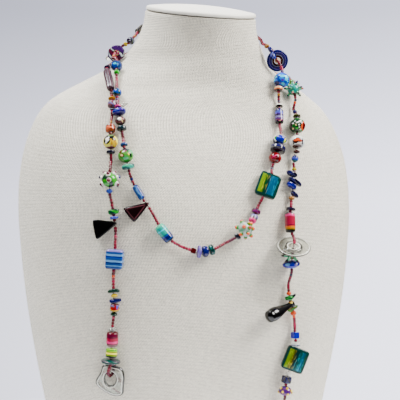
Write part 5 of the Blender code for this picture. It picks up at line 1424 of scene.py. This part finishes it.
def string_strand(strand, strung, lift_at, tree, finish, thread):
    generator = np.random.default_rng(11 + STRANDS.index(strand))
    stretches = strand_paths(strand, strung, lift_at)
    seeds = [seed for stretch in stretches for seed in row_of_seeds(stretch)]
    mesh = points_mesh("seeds_" + strand, [seed[0] for seed in seeds], [seed[1] for seed in seeds],
                       generator.random(len(seeds)))
    grown = grow(mesh, tree, {"Width": SEED_WIDTH, "Length": SEED_PITCH * 1.04}, finish)
    keep("seeds_" + strand, grown, [finish], ["string_" + strand], sharp=60)

    curve = bpy.data.curves.new("thread", "CURVE")
    curve.dimensions = "3D"
    curve.bevel_depth = THREAD / 2
    curve.bevel_resolution = 2
    curve.use_fill_caps = True
    points = [point for stretch in stretches for point in stretch]
    spline = curve.splines.new("POLY")
    spline.points.add(len(points) - 1)
    for corner, point in zip(spline.points, points):
        corner.co = (*point, 1.0)
    made = bpy.data.objects.new("thread", curve)
    bpy.context.scene.collection.objects.link(made)
    bpy.context.view_layer.update()
    mesh = bpy.data.meshes.new_from_object(made.evaluated_get(bpy.context.evaluated_depsgraph_get()))
    bpy.data.objects.remove(made)
    keep("thread_" + strand, mesh, [thread])


def raised_dots(bead, row, tree):
    """Raised dots or spikes on a bead, where the photograph shows them and some behind."""
    back = bead.frame.transposed()
    right, away = back @ VIEW_RIGHT, back @ VIEW_AWAY
    places = []
    directions = []
    for turn, share in row["spots"]:
        reach = (1 - share * share) ** 0.5
        level = right * sin(radians(turn)) - away * cos(radians(turn))
        level = Vector((level.x, level.y, 0.0)).normalized() * reach
        unit = Vector((level.x, level.y, share))
        spot = Vector((unit.x * bead.wide, unit.y * bead.deep, unit.z * bead.long)) / 2
        normal = Vector((unit.x / bead.wide, unit.y / bead.deep, unit.z / bead.long))
        places.append(bead.centre + bead.frame @ (spot * 0.98))
        directions.append((bead.frame @ normal).normalized())
    tints = np.random.default_rng(len(bead.name)).random(len(places))
    finish = dot_material(bead.name, row["foot"], row["tips"])
    mesh = points_mesh(bead.name + "_dots", places, directions, tints)
    grown = grow(mesh, tree, {"Width": row["width"] * BEAD, "Height": row["height"] * BEAD}, finish)
    keep(bead.name + "_dots", grown, [finish], sharp=60)


# ---- The bust and its cap
def neck_bust(finish):
    """The linen-covered form, with its cloth's own measure stored for the weave."""
    sides = BUST_SIDES
    rim = BUST_RIM
    heights = np.concatenate([np.linspace(0.0, 0.70, 40), np.linspace(0.70, NECK_TOP - rim, 60)[1:]])
    turns = np.linspace(0.0, 360.0, sides, endpoint=False)
    rings = [skin(turns, height) for height in heights]
    middle = rings[-1].mean(0)
    for inward, up in ((0.012, 0.45), (0.035, 0.80), (0.075, 1.0)):
        top = skin(turns, NECK_TOP - rim * (1 - up))
        rings.append(top + (middle - top) * np.array((inward, inward, 0.0)))
    work = bmesh.new()
    grid = [[work.verts.new(corner) for corner in ring] for ring in rings]
    for low, high in zip(grid, grid[1:]):
        for k in range(sides):
            after = (k + 1) % sides
            work.faces.new((low[k], low[after], high[after], high[k]))
    work.faces.new(list(reversed(grid[0])))
    work.faces.new(grid[-1])
    cloth = work.loops.layers.uv.new("cloth")
    across = []
    for ring in rings:
        steps = np.linalg.norm(np.diff(ring, axis=0, append=ring[:1]), axis=1)
        across.append(np.concatenate([[0.0], np.cumsum(steps)]))
    up = np.concatenate([[0.0], np.cumsum([np.linalg.norm(b[0] - a[0]) for a, b in zip(rings, rings[1:])])])
    order = {vertex: (j, k) for j, ring in enumerate(grid) for k, vertex in enumerate(ring)}
    for face in work.faces:
        spots = [order[loop.vert] for loop in face.loops]
        wraps = len(face.verts) == 4 and {k for _, k in spots} == {0, sides - 1}
        for loop, (j, k) in zip(face.loops, spots):
            column = sides if wraps and k == 0 else k
            loop[cloth].uv = (across[j][column] - across[j][sides] / 2, up[j])
    mesh = bpy.data.meshes.new("neck_bust")
    work.to_mesh(mesh)
    work.free()
    keep("linen_bust", mesh, [finish], ["neck_bust"], sharp=50)


def neck_cap(finish):
    top = skin(np.array([0.0, 90.0, 180.0]), NECK_TOP)
    middle = Vector((top[0] + top[2]) / 2)
    wide = float(top[1][0])
    deep = float(np.linalg.norm(top[2] - top[0])) / 2
    side = [(0.0, CAP_THICKNESS + CAP_DOME)]
    for k in range(1, CAP_STEPS + 1):
        rise = CAP_DOME * (1 - (k / CAP_STEPS) ** CAP_CROWN_POWER) - 0.0002 * k / CAP_STEPS
        side.append((0.955 * wide * k / CAP_STEPS, CAP_THICKNESS + rise))
    side += [(0.985 * wide, CAP_THICKNESS * 0.82), (wide, CAP_THICKNESS * 0.5), (wide, CAP_THICKNESS * 0.2),
             (0.985 * wide, 0.0), (0.0, 0.0)]
    mesh = turned_mesh(side, BUST_SIDES, (2 * wide, 2 * wide, CAP_THICKNESS), closed=False)
    tilt = Matrix.Rotation(radians(float(SECTIONS[-1][5])), 4, "X")
    mesh.transform(Matrix.Translation(middle + tilt.to_3x3().col[2] * GAP) @ tilt
                   @ Matrix.Diagonal((1.0, deep / wide, 1.0, 1.0)))
    keep("board_cap", mesh, [finish], ["neck_cap"])


# ---- Camera, light and floor
def stage():
    mesh = bpy.data.meshes.new("floor")
    work = bmesh.new()
    bmesh.ops.create_circle(work, cap_ends=True, segments=96, radius=FLOOR_RADIUS)
    work.to_mesh(mesh)
    work.free()
    floor = bpy.data.objects.new("floor", mesh)
    bpy.context.scene.collection.objects.link(floor)
    made, tree, shader = new_material("floor_paper", 0.9)
    shader.inputs["Base Color"].default_value = FLOOR_COLOUR
    place = add(tree, "ShaderNodeTexCoord").outputs["Object"]
    out = vector(tree, "LENGTH", place)
    far = ramp(tree, out, [(FLOOR_FADE[0], (0, 0, 0, 1)), (FLOOR_FADE[1], (1, 1, 1, 1))])
    through = add(tree, "ShaderNodeBsdfTransparent")
    faded = add(tree, "ShaderNodeMixShader", {0: far, 1: shader.outputs[0], 2: through.outputs[0]})
    tree.links.new(faded.outputs[0], tree.nodes["Material Output"].inputs[0])
    mesh.materials.append(made)

    world = bpy.data.worlds.new("studio")
    bpy.context.scene.world = world
    world.use_nodes = True
    tree = world.node_tree
    path = add(tree, "ShaderNodeLightPath").outputs
    direction = add(tree, "ShaderNodeTexCoord").outputs["Generated"]
    rise = add(tree, "ShaderNodeSeparateXYZ", {0: direction}).outputs[2]
    right = vector(tree, "DOT_PRODUCT", direction, tuple(VIEW_RIGHT))
    level = calc(tree, "ADD", calc(tree, "MULTIPLY", rise, 0.5), 0.5)
    room = ramp(tree, level, [(0.0, (0.16, 0.16, 0.16, 1)), (0.5, (0.34, 0.34, 0.35, 1)),
                              (1.0, (2.1, 2.1, 2.1, 1))])
    glints = ramp(tree, level, [(0.40, (0.03, 0.03, 0.035, 1)), (0.60, (0.10, 0.10, 0.11, 1)),
                                (1.0, (0.6, 0.6, 0.6, 1))])
    # The backdrop the camera sees: paper with painted light, brighter towards the right and darker towards
    # the top
    paper = ramp(tree, level, [(0.42, (0.82, 0.83, 0.97, 1)), (0.50, (0.76, 0.77, 0.92, 1)),
                               (0.60, (0.35, 0.36, 0.44, 1))])
    across = calc(tree, "ADD", calc(tree, "MULTIPLY", right, 0.5), 0.5)
    side = ramp(tree, across, [(0.39, (0.80, 0.80, 0.80, 1)), (0.61, (1.32, 1.32, 1.32, 1))])
    paper = vector(tree, "MULTIPLY", paper, side)
    paper = vector(tree, "MULTIPLY", paper, (2.7, 2.7, 2.7))
    shown = blend(tree, path["Is Glossy Ray"], room, glints)
    sky = tree.nodes["Background"]
    tree.links.new(blend(tree, path["Is Camera Ray"], shown, paper), sky.inputs[0])
    sky.inputs[1].default_value = 1.0

    def softbox(name, place, size, power, colour):
        data = bpy.data.lights.new(name, "AREA")
        data.shape = "RECTANGLE"
        data.size, data.size_y = size
        data.energy = power
        data.color = colour
        lamp = bpy.data.objects.new(name, data)
        lamp.location = place
        aim = Vector(LIGHTS_FACE) - Vector(place)
        lamp.rotation_euler = aim.to_track_quat("-Z", "Y").to_euler()
        bpy.context.scene.collection.objects.link(lamp)

    for light in rows(LIGHTS, LIGHT_COLUMNS):
        softbox(**light)

    camera = bpy.data.cameras.new("camera")
    camera.sensor_width = CAMERA_SENSOR
    camera.lens = CAMERA_LENS
    made = bpy.data.objects.new("camera", camera)
    made.location = CAMERA_PLACE
    made.rotation_euler = (radians(CAMERA_TILT), 0.0, radians(VIEW_AZIMUTH))
    bpy.context.scene.collection.objects.link(made)
    bpy.context.scene.camera = made


SLOTS = {part["node"]: part["material_slot"] for part in frame["record"]["subparts"]}


def dress():
    neck_bust(linen_material())
    neck_cap(board_material())
    strung, lift_at = string_beads()
    extras = []
    for strand, table in EXTRAS.items():
        for row in rows(table, CHART_COLUMNS):
            bead = Strung(row, strand)
            bead.settle(lift_at)
            extras.append(bead)
    for ring in strung:
        if ring.kind == "ring":
            middle = copy(ring)
            middle.name, middle.kind, middle.form = ring.name + "_middle", "extra", "round"
            middle.long = middle.wide = middle.deep = 2 * FACE_RING_BEAD * BEAD
            extras.append(middle)
    looks = {row["name"]: row for row in rows(LOOKS, LOOK_COLUMNS)}
    raised = {row["name"]: row for row in rows(RAISED, RAISED_COLUMNS)}
    seeds = seed_tree()
    dots = dot_tree()
    strokes = stroke_group()
    seed_glass = seed_material()
    thread = thread_material()
    for strand in STRANDS:
        string_strand(strand, strung, lift_at, seeds, seed_glass, thread)
    for bead in strung + extras:
        mesh, turn = bead_mesh(bead)
        if bead.name in PAINTED_EDGE_LIGHT and bead.form != "ringed_disc":
            mark_edges(mesh)
        finish = glass_material(bead, turn, looks[bead.name], strokes)
        mesh.transform(Matrix.Translation(bead.centre) @ turn.to_4x4())
        nodes = [bead.name] if bead.name in SLOTS else []
        keep("glass_" + bead.name, mesh, [finish], nodes,
             sharp=20 if bead.form == "faceted" else 45)
        if bead.name in raised:
            raised_dots(bead, raised[bead.name], dots)
    base, lift, down = end_ring_place(strung[0])
    wide, high = (half * BEAD for half in END_RING_HOLE)
    hole = []
    for k in range(HOLE_CORNERS):
        turn = 2 * pi * k / HOLE_CORNERS
        hole.append((wide * sin(turn), high * (cos(turn) - 1)))
    ring = outline_mesh([rounded([(x * BEAD, y * BEAD) for x, y in END_RING_OUTLINE]), hole],
                        END_RING_THICKNESS * BEAD, END_RING_EDGE * BEAD)
    mark_edges(ring)
    place = base + strung[0].out * lift - strung[0].frame.col[2] * down
    ring.transform(Matrix.Translation(place) @ strung[0].frame.to_4x4())
    finish = glass_material(strung[0], strung[0].frame, looks["end_ring"], strokes)
    keep("glass_end_ring", ring, [finish], ["end_ring"])


dress()
stage()
